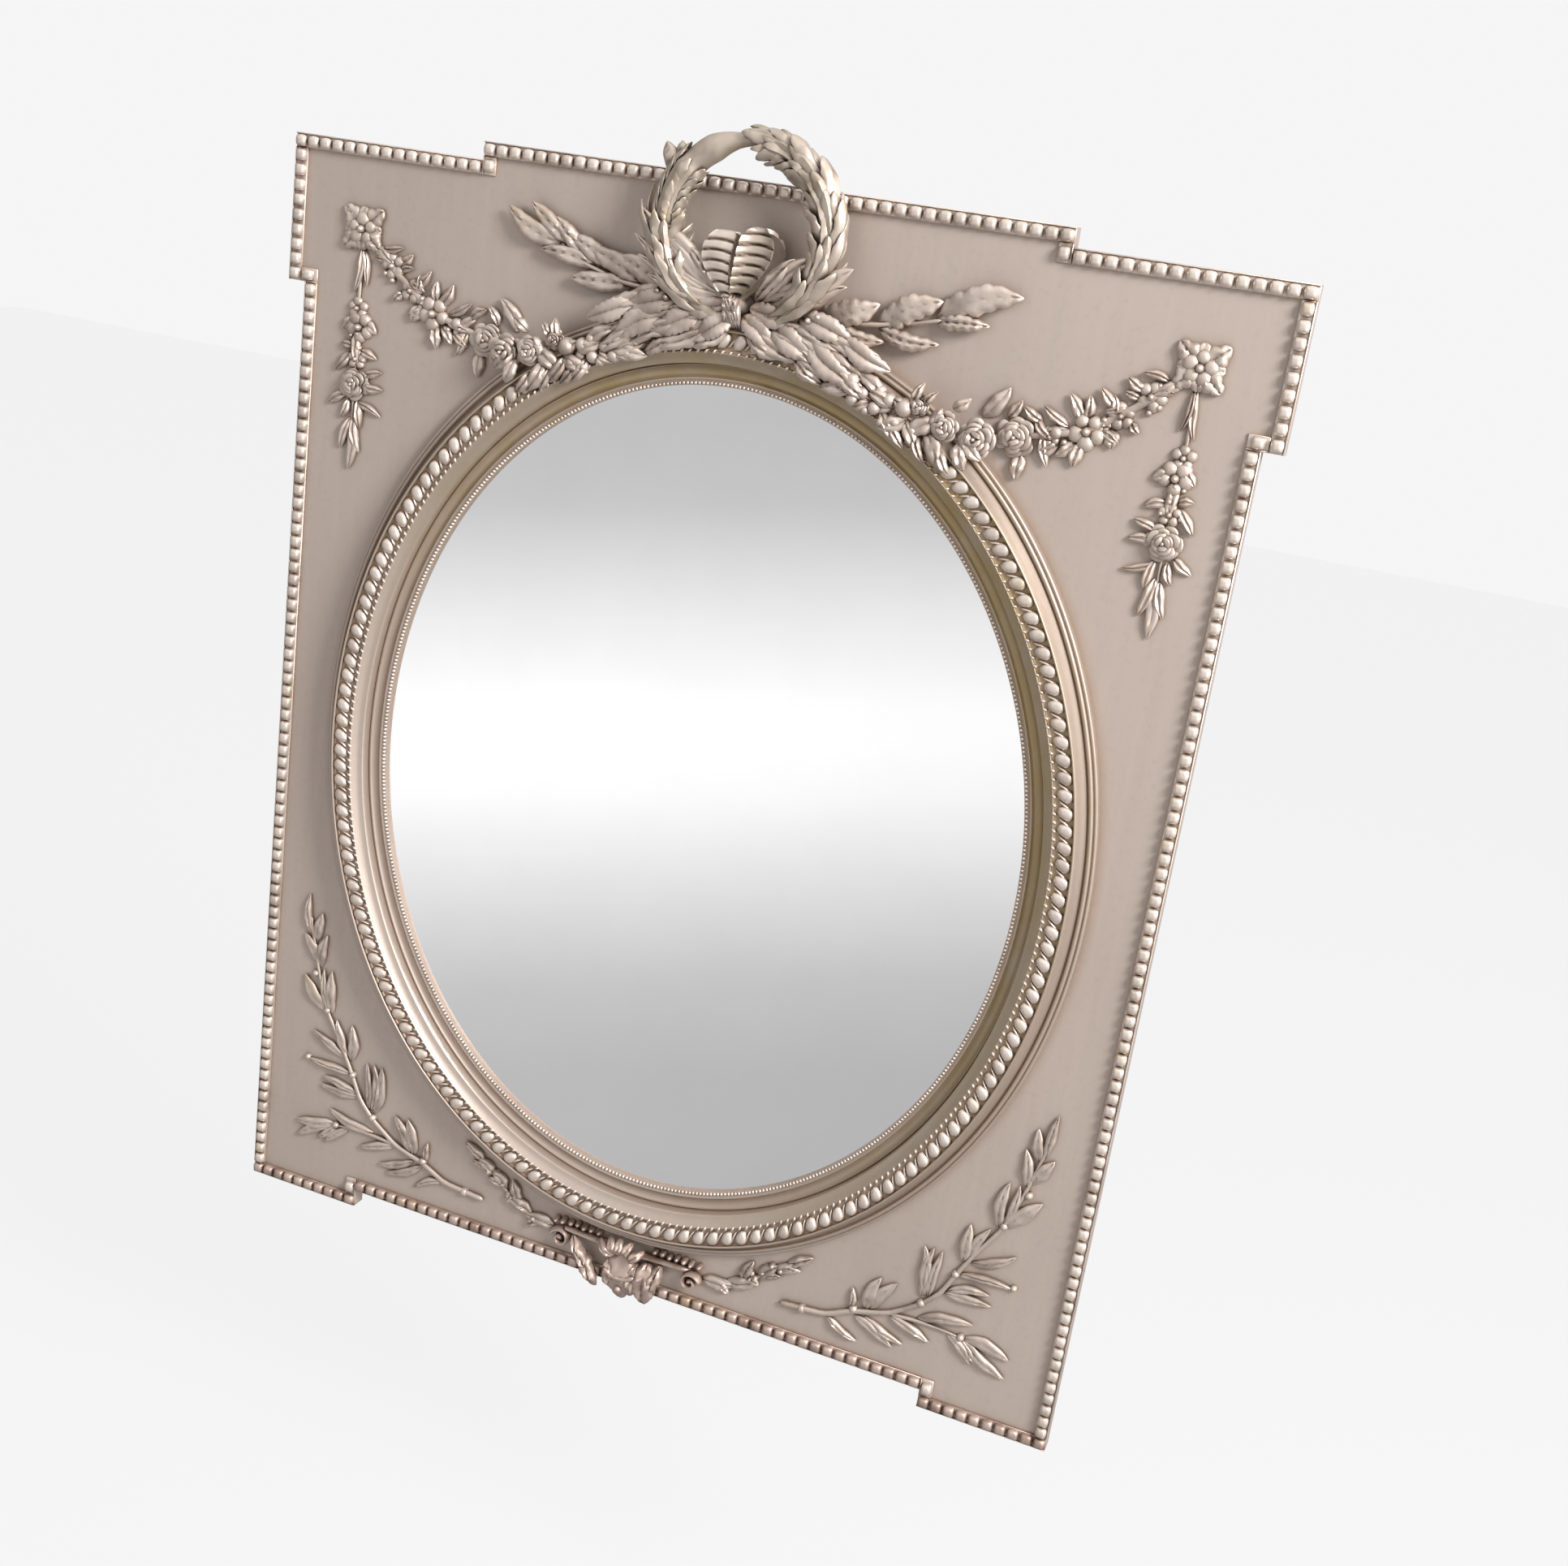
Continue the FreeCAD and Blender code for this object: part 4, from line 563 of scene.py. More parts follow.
def pearl_strip(low_x, high_x, low_z, high_z, outer):
    """A strip with evenly spaced pearls, and a fillet up, down, out (right) or in (left)."""
    fillet, shift = {
        "up": ((low_x, high_x, high_z - FILLET_WIDE, high_z), (0, -ASIDE)),
        "down": ((low_x, high_x, low_z, low_z + FILLET_WIDE), (0, ASIDE)),
        "out": ((high_x - FILLET_WIDE, high_x, low_z, high_z), (-ASIDE, 0)),
        "in": ((low_x, low_x + FILLET_WIDE, low_z, high_z), (ASIDE, 0)),
    }[outer]
    size = np.array([high_x - low_x, high_z - low_z])
    way = int(size[1] > size[0])
    count = max(1, int(size[way] / PEARL_PITCH))
    places = np.tile([(low_x + high_x) / 2, (low_z + high_z) / 2], (count, 1))
    places[:, way] = (low_x, low_z)[way] + (np.arange(count) + 0.5) * size[way] / count
    places = places + shift + random.normal(0, CHANCE, places.shape)
    pearls = studs(places, np.tile(np.eye(2)[way], (count, 1)), *PEARL_SIZE, PEARL_FLOOR,
                   squareness=3.4, levels=(0.0, 0.6, 0.88, 0.975), boxy=2.6)
    return [bar(low_x, high_x, low_z, high_z, 0.0, STRIP_HIGH, 0.8),
            bar(*fillet, 1.0, FILLET_HIGH, 0.6), pearls]


for node, (x0, x1, z0, z1, outer) in STRIPS.items():
    # The strips along the bottom edge take the darker worn gilt as painted shade under the
    # board's lower edge.
    finish = WORN_AND_SHADED_GILT if node in ("bottom_pearls", "foot_pearls") else BEAD_GILT
    mirrored = {"out": "in", "in": "out"}.get(outer, outer)
    sides = [("right_", x0, x1, outer), ("left_", -x1, -x0, mirrored)]
    if x0 + x1 == 0:
        sides = [("", x0, x1, outer)]
    for side, low, high, edge in sides:
        make_piece(side + node + "_strip", pearl_strip(low, high, z0, z1, edge), finish,
                   side + node)

# %% [markdown]
# ## Leaves, flowers, berries and stems
# A leaf is a skin whose width follows a pointed oval from stalk to tip. Its upper side is
# two puffed halves with a groove between them and slanting veins, and its edge may be
# toothed. A flat leaf with a bump in its material would look right from the front only,
# so veins and teeth are in the shape. Everything is given for all the leaves of a branch
# at once. Roses and open flowers are rings of leaves or bosses, each a little different.

# %% Leaves
def leaf_grid(rings, around):
    """The grid of a leaf: s from stalk to tip, closest at both ends, and cos, sin round it."""
    s = ((1 - np.cos(np.pi * np.linspace(0, 1, rings))) / 2)[None, :, None]
    turn = (2 * np.pi * (np.arange(around) + 0.5) / around)[None, None, :]
    return s, np.cos(turn), np.sin(turn)


GROOVE_WIDE = 0.22          # as a share of the leaf's half width
VEIN_HIGH, VEIN_SLANT = 0.12, 1.3
LOBE_SLANT = 0.35


def leaves(spot, rows, rise, lift=0.0, tip_lift=2.0, arch=1.0, teeth=0, tooth=0.16,
           groove=0.45, blunt=0.0, bend=0.10, rings=22, around=18, ragged=0.08):
    """Leaves from rows of start across, start up, tip across, tip up and width.

    They lie about spot: its place across and up, and 1 or -1 for rows that run to the right
    or to the left. Half width at s is width / 2 times s^0.6 (1 - s)^0.8, scaled to one at
    its widest, and cut into rounded lobes where teeth are asked for. The upper side is rise
    times sin of the angle round the leaf, less a groove along the middle, with slanting
    veins. The whole leaf lifts by arch sin(pi s) + tip_lift s^2, bows sideways by bend
    times its length, and has a slow wave of its own, so no two are alike.
    """
    rows = np.array(rows, float)
    count = len(rows)
    start, tip, width = rows[:, 0:2], rows[:, 2:4], rows[:, 4]
    run = tip - start
    long = np.linalg.norm(run, axis=1)[:, None, None]
    along = run / long[:, :, 0]
    s, v, face = leaf_grid(rings, around)
    full = s ** (0.6 - 0.2 * blunt) * (1 - s) ** (0.8 - 0.35 * blunt)
    full = full / full.max()
    wave = random.uniform(0, 2 * np.pi, (2, count, 1, 1))
    lobe = np.sin(np.pi * ((teeth * s - LOBE_SLANT * np.abs(v)) % 1.0) ** 0.8) ** 0.6
    jag = 1 + tooth * (1.6 * lobe - 1.1) * np.minimum(1, 6 * s * (1 - s)) if teeth else 1.0
    jag = jag * (1 + ragged * np.sin(11 * s + 1.5 * v + wave[0]))
    reach = full * jag * width[:, None, None] / 2
    veins = np.cos(2 * np.pi * (max(teeth, 5) * s - VEIN_SLANT * np.abs(v)))
    crown = np.maximum(face, 0) ** 0.7 * (1 - groove * np.exp(-(v / GROOVE_WIDE) ** 2))
    crown = crown + VEIN_HIGH * veins * np.maximum(face, 0) * (1 - np.abs(v))
    crown = crown * (1 + 1.6 * ragged * np.sin(13 * s - 2 * v + wave[1]))
    if teeth:
        crown = crown * (1 - 0.12 * (1 - lobe) * np.abs(v) ** 0.5)
    under = np.minimum(face, 0) * 0.10
    bow = bend * random.uniform(-1, 1, count)[:, None, None] * long * 4 * s * (1 - s)
    side = reach * v + bow
    scale = random.uniform(0.85, 1.15, count)[:, None, None]
    high = full ** 0.8 * rise * (crown + under) * scale
    lift = np.asarray(lift, float).reshape(-1, 1, 1)
    tip_lift = np.asarray(tip_lift, float).reshape(-1, 1, 1)
    high = high + lift + arch * np.sin(np.pi * s) + tip_lift * s ** 2
    ax, az = along[:, 0, None, None], along[:, 1, None, None]
    across = start[:, 0, None, None] + ax * s * long - az * side
    up = start[:, 1, None, None] + az * s * long + ax * side
    x, z, mirror = spot
    return skins(placed(x + mirror * across, z + up, np.maximum(high, -0.3)))


# %% Berries and bosses
def berries(spot, rows, lift=0.0):
    """Round bosses from rows of across, up, radius and rise."""
    rows = np.array(rows, float)
    x, z, mirror = spot
    places = np.stack([x + mirror * rows[:, 0], z + rows[:, 1]], axis=-1)
    parts = []
    for place, radius, rise in zip(places, rows[:, 2], rows[:, 3]):
        parts.append(studs(place[None], np.array([[1.0, 0.0]]), radius, radius, rise, lift,
                           around=14, levels=(0.0, 0.4, 0.7, 0.9, 0.98), boxy=2.2))
    return parts


# %% Stems
def stem(spot, line, wide, rise, lift=0.0, taper=0.5, knots=0.0):
    """A stem along a smooth line through the points, thinner towards its end.

    The line is sampled evenly by arc length through smoothed points; each ring is an oval
    wide across and rise high, standing on the board.
    """
    line = np.array(line, float)
    lengths = np.concatenate([[0], np.cumsum(np.linalg.norm(np.diff(line, axis=0), axis=1))])
    count = max(12, int(lengths[-1] / 4))
    s = np.linspace(0, lengths[-1], count)
    x_line = np.interp(s, lengths, line[:, 0])
    z_line = np.interp(s, lengths, line[:, 1])
    for _ in range(3):
        x_line[1:-1] = (x_line[:-2] + 2 * x_line[1:-1] + x_line[2:]) / 4
        z_line[1:-1] = (z_line[:-2] + 2 * z_line[1:-1] + z_line[2:]) / 4
    ax, az = np.gradient(x_line), np.gradient(z_line)
    size = np.hypot(ax, az)
    ax, az = (ax / size)[:, None], (az / size)[:, None]
    turn = round_turn(10)
    share = s / s[-1]
    thick = (1 - taper * share) * (1 + knots * np.cos(2 * np.pi * s / 9))
    thick[0] = thick[-1] = 0
    side = thick[:, None] * wide / 2 * np.cos(turn)
    high = lift + rise / 2 + thick[:, None] * rise / 2 * np.sin(turn)
    across = x_line[:, None] - az * side
    up = z_line[:, None] + ax * side
    x, z, mirror = spot
    return skins(placed(x + mirror * across, z + up, high)[None])


# %% Flowers
def blossom(spot, row, lift=0.0, turn=0.3):
    """An open flower: five round puffed petals, deep gaps between, and a round boss."""
    across, up, radius, rise = row
    petals = 5
    angle = turn + round_turn(petals) + random.uniform(-0.12, 0.12, petals)
    size = radius * 2.35 / petals * random.uniform(0.88, 1.08, petals)
    rows = [(across + 0.58 * radius * math.cos(a), up + 0.58 * radius * math.sin(a), r,
             rise * 0.62) for a, r in zip(angle, size)]
    return berries(spot, rows + [(across, up, radius * 0.27, rise)], lift)


ROSE_RINGS = [(6, 1.0, 0.90, 0.08), (5, 0.78, 0.80, 0.30), (4, 0.58, 0.72, 0.50),
              (3, 0.38, 0.56, 0.66)]        # petals, reach, width, foot as shares


def rose(spot, row, lift=0.0):
    """A full rose: rings of cupped petals, each ring higher and smaller, round a bud.

    No two petals of a ring are quite the same size, height or angle.
    """
    across, up, radius, rise = row
    parts = []
    for petals, far, wide, foot in ROSE_RINGS:
        angle = random.uniform(0, 6.3) + round_turn(petals)
        angle = angle + random.uniform(-0.22, 0.22, petals)
        reach = far * radius * random.uniform(0.88, 1.08, petals)
        near = 0.08 * far * radius
        rows = np.stack([across + near * np.cos(angle), up + near * np.sin(angle),
                         across + reach * np.cos(angle), up + reach * np.sin(angle),
                         wide * radius * random.uniform(0.9, 1.1, petals)], axis=1)
        height = lift + rise * (foot + random.uniform(-0.03, 0.03, petals))
        parts.append(leaves(spot, rows, rise=rise * 0.16, lift=height, tip_lift=rise * 0.16,
                            arch=rise * 0.05, groove=-0.2, blunt=1.0, bend=0.10, rings=10,
                            around=12))
    parts += berries(spot, [(across, up, radius * 0.60, rise * 0.55),
                            (across, up, radius * 0.20, rise * 0.98)], lift)
    return parts

# %% [markdown]
# ## Rosettes, drops and garlands
# A square rosette at each ear holds a swag of roses that falls to the oval and follows its
# top, and a straight drop of flowers and husks. Scattering leaves by chance would be less
# work, but a carver places each one. So every leaf is a row in a table, and the two sides
# mirror each other and share their tables.

# %% Tables of the side ornament
# Leaves are given by stalk, tip and width; flowers and berries by place, radius and rise,
# and then a flower's turn or a rose's lift. All are mm from the middle of the rosette, on
# the right side of the board.
ROSETTE_AT = (BODY_HALF - 57, 954)
ROSETTE_LEAVES = [(0, 0, a, b, 17) for a, b in ((-19, 18), (20, 18), (19, -17), (-18, -16))]
ROSETTE_PETALS = [(0, 2, 0, 19, 14), (-2, 0, -18, 0, 14), (2, 0, 19, 0, 14),
                  (0, -2, 1, -18, 14)]
DROP_STEM = [(0, -17), (1, -60), (0, -110), (0, -170)]
DROP_FLOWERS = [(1, -68, 10, 7, 0.3), (-2, -84, 14, 9, 1.0), (-1, -112, 10, 7, 0.3)]
DROP_BERRIES = [(-1, -90, 3.2, 6), (6, -92, 2.6, 5), (-8, -112, 2.6, 5), (8, -114, 2.6, 5),
                (-3, -102, 3, 6), (10, -134, 2.6, 5)]
DROP_LEAVES = [
    (1, -15, 6, -55, 8), (-2, -17, -6, -49, 6), (-5, -80, -20, -87, 11), (4, -76, 14, -88, 9),
    (-1, -86, -3, -118, 10), (-4, -104, -22, -109, 9), (3, -102, 16, -100, 8),
    (5, -106, 20, -125, 9), (-8, -126, -28, -120, 8), (-8, -134, -30, -135, 9),
    (8, -144, 25, -155, 9), (-3, -150, -30, -159, 7), (-5, -148, -9, -173, 9),
    (5, -148, 11, -166, 8), (-2, -162, -10, -194, 10), (2, -164, 10, -193, 10),
    (0, -166, 1, -211, 12),
]
GARLAND_LEAVES = [
    (-10, -12, -34, -26, 10), (-38, -24, -52, -15, 9), (-40, -30, -53, -26, 7),
    (-26, -24, -14, -22, 6), (-52, -42, -71, -26, 9), (-60, -56, -55, -71, 13),
    (-44, -48, -36, -56, 8), (-80, -54, -94, -34, 10), (-78, -52, -78, -33, 9),
    (-78, -70, -82, -90, 12), (-84, -70, -97, -84, 10), (-66, -58, -50, -66, 9),
    (-91, -60, -113, -47, 8), (-88, -64, -114, -71, 9), (-110, -68, -102, -93, 9),
    (-125, -86, -125, -108, 13), (-140, -62, -130, -46, 9), (-160, -64, -141, -38, 14),
    (-118, -58, -100, -72, 9), (-20, -14, -42, -10, 7), (-46, -38, -66, -44, 8),
    (-58, -48, -60, -30, 8), (-96, -74, -112, -84, 9), (-112, -60, -128, -50, 9),
]
GARLAND_STEM = [(-14, -14), (-44, -38), (-76, -61), (-104, -68), (-131, -75), (-155, -80)]
SMALL_FLOWERS = [(-32, -27, 12, 8), (-52, -45, 11, 8), (-76, -61, 15, 10), (-64, -54, 7, 6),
                 (-104, -70, 9, 7)]
GARLAND_BERRIES = [(-27, -18, 3, 5), (-32, -39, 3, 5), (-25, -34, 3, 5), (-100, -66, 6, 7),
                   (-64, -50, 3, 6), (-92, -72, 3, 6)]
SWAG_LIFT = CREST_HIGH - 3      # the swag's leaves lie on the oval moulding
GARLAND_ROSES = [(-131, -75, 17, 13, 0), (-158, -80, 17, 20, 12),
                 (-184, -75, 14, 12, SWAG_LIFT), (-207, -62, 10, 10, SWAG_LIFT)]
SWAG_BUDS = [
    (-218, -66, 8, 9), (-232, -62, 6, 7), (-243, -70, 6, 7), (-254, -60, 6, 7),
    (-265, -52, 8, 8), (-240, -56, 5, 6), (-262, -66, 6, 7), (-224, -78, 5, 7),
    (-236, -80, 4, 6), (-250, -73, 4, 6), (-274, -62, 5, 6), (-281, -52, 4, 6),
]
SWAG_LEAVES = [
    (-170, -84, -163, -106, 13), (-198, -80, -183, -109, 14), (-218, -74, -203, -98, 12),
    (-238, -72, -223, -94, 10), (-210, -62, -205, -44, 9), (-203, -62, -193, -49, 8),
    (-196, -66, -186, -72, 16), (-225, -66, -252, -56, 12), (-250, -60, -290, -50, 13),
    (-212, -70, -230, -60, 10), (-186, -92, -174, -112, 10), (-206, -84, -196, -106, 9),
    (-228, -80, -214, -98, 9), (-246, -66, -262, -72, 9), (-258, -58, -282, -66, 9),
    (-168, -76, -150, -96, 13), (-190, -72, -214, -88, 15), (-214, -74, -240, -84, 14),
    (-236, -60, -262, -44, 12), (-262, -60, -292, -62, 14), (-180, -60, -166, -50, 10),
]

# %% Build the side ornament
def side_ornament(name, mirror):
    """Rosette, drop and garland of one side."""
    spot = (mirror * ROSETTE_AT[0], ROSETTE_AT[1], mirror)
    parts = [leaves(spot, ROSETTE_LEAVES, 5.5, bend=0, blunt=0.6, teeth=3, tooth=0.3),
             leaves(spot, ROSETTE_PETALS, 3.5, lift=1.5, tip_lift=0.5, bend=0, blunt=1)]
    parts += blossom(spot, (0, 0, 14, 8), lift=3.0)
    make_piece(name + "_rosette_carving", parts, GILT, name + "_rosette")

    parts = [leaves(spot, DROP_LEAVES, 4.0, rings=16, around=14),
             stem(spot, DROP_STEM, 4, 3)]
    for *flower, turn in DROP_FLOWERS:
        parts += blossom(spot, flower, turn=turn)
    parts += rose(spot, (-1, -134, 16, 12)) + berries(spot, DROP_BERRIES)
    make_piece(name + "_drop_carving", parts, GILT, name + "_drop")

    parts = [stem(spot, GARLAND_STEM, 7, 5, taper=0.2),
             leaves(spot, GARLAND_LEAVES, 4.5, tip_lift=3.0, teeth=3, tooth=0.1, rings=18,
                    around=14),
             leaves(spot, SWAG_LEAVES, 5.0, lift=SWAG_LIFT, tip_lift=1.0, arch=3.0, teeth=4,
                    tooth=0.12, rings=18, around=14)]
    for number, flower in enumerate(SMALL_FLOWERS):
        parts += blossom(spot, flower, turn=0.5 * number)
    for *flower, lift in GARLAND_ROSES:
        parts += rose(spot, flower, lift)
    parts += berries(spot, GARLAND_BERRIES) + berries(spot, SWAG_BUDS, SWAG_LIFT + 1)
    make_piece(name + "_garland_carving", parts, GILT, name + "_garland")


side_ornament("right", RIGHT)
side_ornament("left", LEFT)

# %% [markdown]
# ## Olive branches in the lower corners
# Each branch climbs from near the foot of the oval round the corner and up the side, with
# long thin leaves in groups and small olives at the forks. The stem is a smooth line
# through a few points, which is easier to draw than a curve's handles.

# %% Corner branches
# Places are mm in from the board's side and up from its foot.
CORNER_STEM = [
    (268, 57), (222, 61), (197, 74), (163, 84), (135, 104), (119, 122), (109, 144),
    (95, 172), (76, 203), (63, 242), (55, 275), (49, 302),
]
SIDE_STEM = [(163, 84), (133, 86), (107, 85), (92, 83)]
CORNER_LEAVES = [
    (222, 61, 188, 44, 8), (199, 76, 200, 98, 7), (185, 79, 175, 117, 13),
    (182, 80, 160, 116, 13), (195, 70, 154, 50, 10), (185, 72, 145, 57, 9),
    (163, 82, 121, 68, 10), (137, 110, 141, 163, 12), (133, 112, 132, 164, 10),
    (130, 112, 124, 163, 9), (137, 88, 85, 100, 11), (107, 83, 81, 60, 10),
    (94, 82, 73, 62, 9), (92, 82, 48, 57, 12), (92, 84, 47, 76, 13),
    (117, 122, 72, 124, 10), (115, 125, 75, 134, 9), (109, 145, 55, 148, 8),
    (105, 158, 104, 198, 12), (101, 160, 86, 199, 10), (98, 160, 59, 180, 10),
    (79, 202, 77, 249, 12), (76, 204, 68, 249, 9), (76, 204, 46, 238, 15),
    (63, 248, 69, 285, 11), (61, 252, 43, 281, 13), (56, 275, 62, 307, 11),
    (52, 280, 47, 324, 9),
]
CORNER_BERRIES = [
    (245, 58, 5, 6), (196, 76, 4.5, 6), (135, 105, 4.5, 6), (109, 145, 4, 6),
    (75, 206, 4, 6), (59, 242, 4, 6), (94, 84, 4, 6), (56, 149, 3.5, 5),
]
for name, mirror in (("right", RIGHT), ("left", LEFT)):
    corner = (mirror * BODY_HALF, 0, -mirror)
    parts = [stem(corner, CORNER_STEM, 6.0, 5.0, knots=0.06),
             stem(corner, SIDE_STEM, 4.6, 4),
             leaves(corner, CORNER_LEAVES, 4.0, groove=0.35, teeth=4, tooth=0.06)]
    parts += berries(corner, CORNER_BERRIES)
    make_piece(name + "_corner_carving", parts, GILT, name + "_corner_branch")

# %% [markdown]
# ## Wreath
# The wreath is a ring of long laurel leaves that overlap like tiles on a rope. Flat leaves
# bent by a modifier would cut into each other, so these are laid on a torus: along the
# leaf is the way round the ring, across it is the way round the rope, and its thickness is
# distance from the rope's middle. On the left a toothed sheath ends in a bare stem that
# thins towards the top and meets the leaves of the right side.

# %% Leaves wrapped on the ring
WREATH_ACROSS, WREATH_UP, WREATH_OUT = -1.0, 1001.0, 26.0      # the ring's middle
WREATH_RADIUS = 69.5


def ring_place(angle, side, radial, forward):
    """From the angle round the ring (0 at the knot), to across, up and out."""
    across = WREATH_ACROSS + side * np.sin(angle) * radial
    return placed(across, WREATH_UP - np.cos(angle) * radial, WREATH_OUT + forward)


def ring_leaves(side, rows, thick, rise=4.6, flare=8.5, teeth=4):
    """Leaves on the ring from rows of start angle, length in mm, width, place round the
    rope in degrees, and drift round the rope towards the tip.

    Each leaf leaves the rope's surface by flare s^1.3 towards its tip, more at the ring's
    inner and outer sides than in front, so the tips stand clear.
    """
    rows = np.array(rows, float)
    start, long, width, lay, drift = (rows[:, n, None, None] for n in range(5))
    start = np.radians(start)
    s, v, face = leaf_grid(20, 14)
    full = s ** 0.6 * (1 - s) ** 0.7
    full = full / full.max()
    wave = random.uniform(0, 2 * np.pi, (len(rows), 1, 1))
    saw = (teeth * s - 0.3 * np.abs(v)) % 1.0
    reach = full * width / 2 * (1 + 0.16 * (2 * saw - 1) * np.minimum(1, 6 * s * (1 - s)))
    reach = reach * (1 + 0.10 * np.sin(11 * s + 1.5 * v + wave))
    angle = start + s * long / WREATH_RADIUS
    rope = thick(np.degrees(angle))
    ridge = np.maximum(face, 0) ** 0.8 * (0.55 + 0.45 * (1 - np.abs(v)) ** 0.8)
    ridge = ridge * (1 + 0.20 * np.sin(13 * s - 2 * v + wave))
    ridge = ridge - 0.18 * np.exp(-((np.abs(v) - 0.35) / 0.12) ** 2) * np.maximum(face, 0)
    scale = random.uniform(0.7, 1.3, len(rows))[:, None, None]
    scale = scale * (0.55 + 0.85 * np.abs(np.sin(np.radians(lay))))
    high = full ** 0.8 * rise * ridge + flare * scale * s ** 1.3 - 1.0
    round_rope = np.radians(lay + drift * s) + reach * v / (rope + 4)
    radial = WREATH_RADIUS + (rope + high) * np.sin(round_rope)
    forward = (rope + high) * np.cos(round_rope)
    return skins(ring_place(angle, side, radial, forward))


def ring_rope(side, first, last, thick):
    """The bare rope of the ring between two angles, as thick as the function says."""
    angle = np.radians(np.linspace(first, last, 60))[:, None]
    turn = round_turn(20)[None, :]
    size = thick(np.degrees(angle))
    size = size * np.clip(np.sin(np.pi * np.linspace(0, 1, 60)) * 12, 0, 1)[:, None] ** 0.5
    points = ring_place(angle, side, WREATH_RADIUS + size * np.sin(turn), size * np.cos(turn))
    return skins(points[None])


# %% The two halves of the wreath
def right_thick(angle):
    """Radius of the right half's core: full at the side, thin at the top."""
    return np.interp(angle, [0, 30, 120, 165, 190], [5, 6.0, 5.6, 3.6, 2.0])


def left_thick(angle):
    """Radius of the left half: under leaves, in a sheath, then a bare tapering stem."""
    return np.interp(angle, [0, 30, 78, 90, 118, 127, 134, 150, 166, 184],
                     [5, 7, 8, 10.5, 11.5, 12.5, 10.5, 11.0, 6.5, 3.5])


LAYS = (-84, -50, -17, 17, 50, 84)          # places round the rope, in degrees
SHEATH_LAYS = (-95, -65, 0, 65, 95)
LEAF_LONG, LEAF_WIDE, LEAF_STEP = 44, 13.0, 17.0        # mm, mm, degrees
RIGHT_TOP = [(150, 42, 9, 0, 0), (152, 40, 9, 40, 5), (150, 40, 9, -40, -5)]
SHOULDER_LEAVES = [(-66, 36, -79, 60, 15), (-62, 40, -66, 62, 12)]
right_rows = []
for start in np.arange(22, 146, LEAF_STEP):
    for number, lay in enumerate(LAYS):
        begin = start + LEAF_STEP / 2 * (number % 2) + random.uniform(-3, 3)
        long = LEAF_LONG + random.uniform(-6, 8) - 0.08 * max(0, start - 90)
        right_rows.append((begin, long, LEAF_WIDE, lay + random.uniform(-6, 6),
                           0.25 * lay + random.uniform(-8, 8)))
right_rows += RIGHT_TOP
left_rows = [row for row in right_rows if row[0] < 70]
sheath_rows = [(start + 3 * (lay % 2), 25, 13, lay, 4) for start in np.arange(78, 116, 9)
               for lay in SHEATH_LAYS]
parts = [ring_rope(RIGHT, 8, 186, right_thick), ring_rope(LEFT, 8, 184, left_thick),
         ring_leaves(RIGHT, right_rows, right_thick),
         ring_leaves(LEFT, left_rows, left_thick),
         ring_leaves(LEFT, sheath_rows, left_thick, rise=2.2, flare=3.0, teeth=3),
         leaves((WREATH_ACROSS, WREATH_UP, RIGHT), SHOULDER_LEAVES, 8, lift=WREATH_OUT - 6,
                groove=0.1, bend=0)]
make_piece("wreath_carving", parts, WREATH_GILT, "laurel_wreath")

# %% [markdown]
# ## Bow
# A bow of two ribbon loops is tied at the foot of the wreath. Each loop is one broad
# ribbon, ribbed across like grosgrain, that rises from the knot, folds over and comes back
# down behind itself. A closed pod with ribs would be simpler, but it would hide the
# ribbon's edges. So the surface is a grid of the way along the ribbon and the place
# across it. The left loop stands further out and is given the paler gilt as painted light,
# the right one the browner gilt as painted shade, so that they read as two ribbons and not
# as one lump.

# %% Ribbon loops
RIBBON_DEEP = 11.0          # the front run stands this far before the loop's middle
RIB_PITCH, RIB_HIGH = 8.4, 3.2
GROOVE_DEEP, GROOVE_NARROW = 0.8, 0.35


def ribbon_loop(middle, half, top, depth, cup):
    """One loop of the bow: a broad ribbed ribbon that rises from the knot and folds back.

    At angle t from the knot the ribbon is (1 - cos t) / 2 of the way up and RIBBON_DEEP
    sin t in front of its middle depth. Its half width is half |sin t|^0.8 sin(t / 2)^1.2, a
    drop as seen from the front, whose middle line bows sideways by sin of the height. The
    edges stand forward by cup. Narrow grooves, 1 - exp(-(sin / GROOVE_NARROW)^2), cross
    the ribbon at equal distances from the knot.
    """
    t = np.linspace(0.10, 2 * np.pi - 0.10, 340)[:, None]
    v = np.array([1.0, 0.85, 0.45, 0.0, -0.45, -0.85, -1.0])
    v = np.concatenate([v, v[::-1]])[None, :]
    outer = np.repeat([1.0, 0.0], 7)[None, :]
    high = (1 - np.cos(t)) / 2
    wide = 1.5 + half * np.abs(np.sin(t)) ** 0.8 * np.sin(t / 2) ** 1.2
    reach = np.hypot(wide * v, high * top)
    ribs = 1 - np.exp(-(np.sin(np.pi * reach / RIB_PITCH) / GROOVE_NARROW) ** 2)
    thick = outer * (RIB_HIGH * ribs - GROOVE_DEEP) - (1 - outer)
    deep, tall = RIBBON_DEEP * np.cos(t), top / 2 * np.sin(t)
    away = np.hypot(tall, deep)
    x = middle * np.sin(2.2 * high) - 4 * (1 - high) + wide * v
    z = 4 + high * (top - 4) - thick * deep / away
    rim = cup * v ** 2 * np.minimum(1, wide / 10) + 1.2 * v ** 8
    out = depth + RIBBON_DEEP * np.sin(t) + thick * tall / away + rim * (t < np.pi)
    points = placed(x, KNOT_UP + z, out)
    points[0] = points[0].mean(axis=0)
    points[-1] = points[-1].mean(axis=0)
    return skins(points[None])


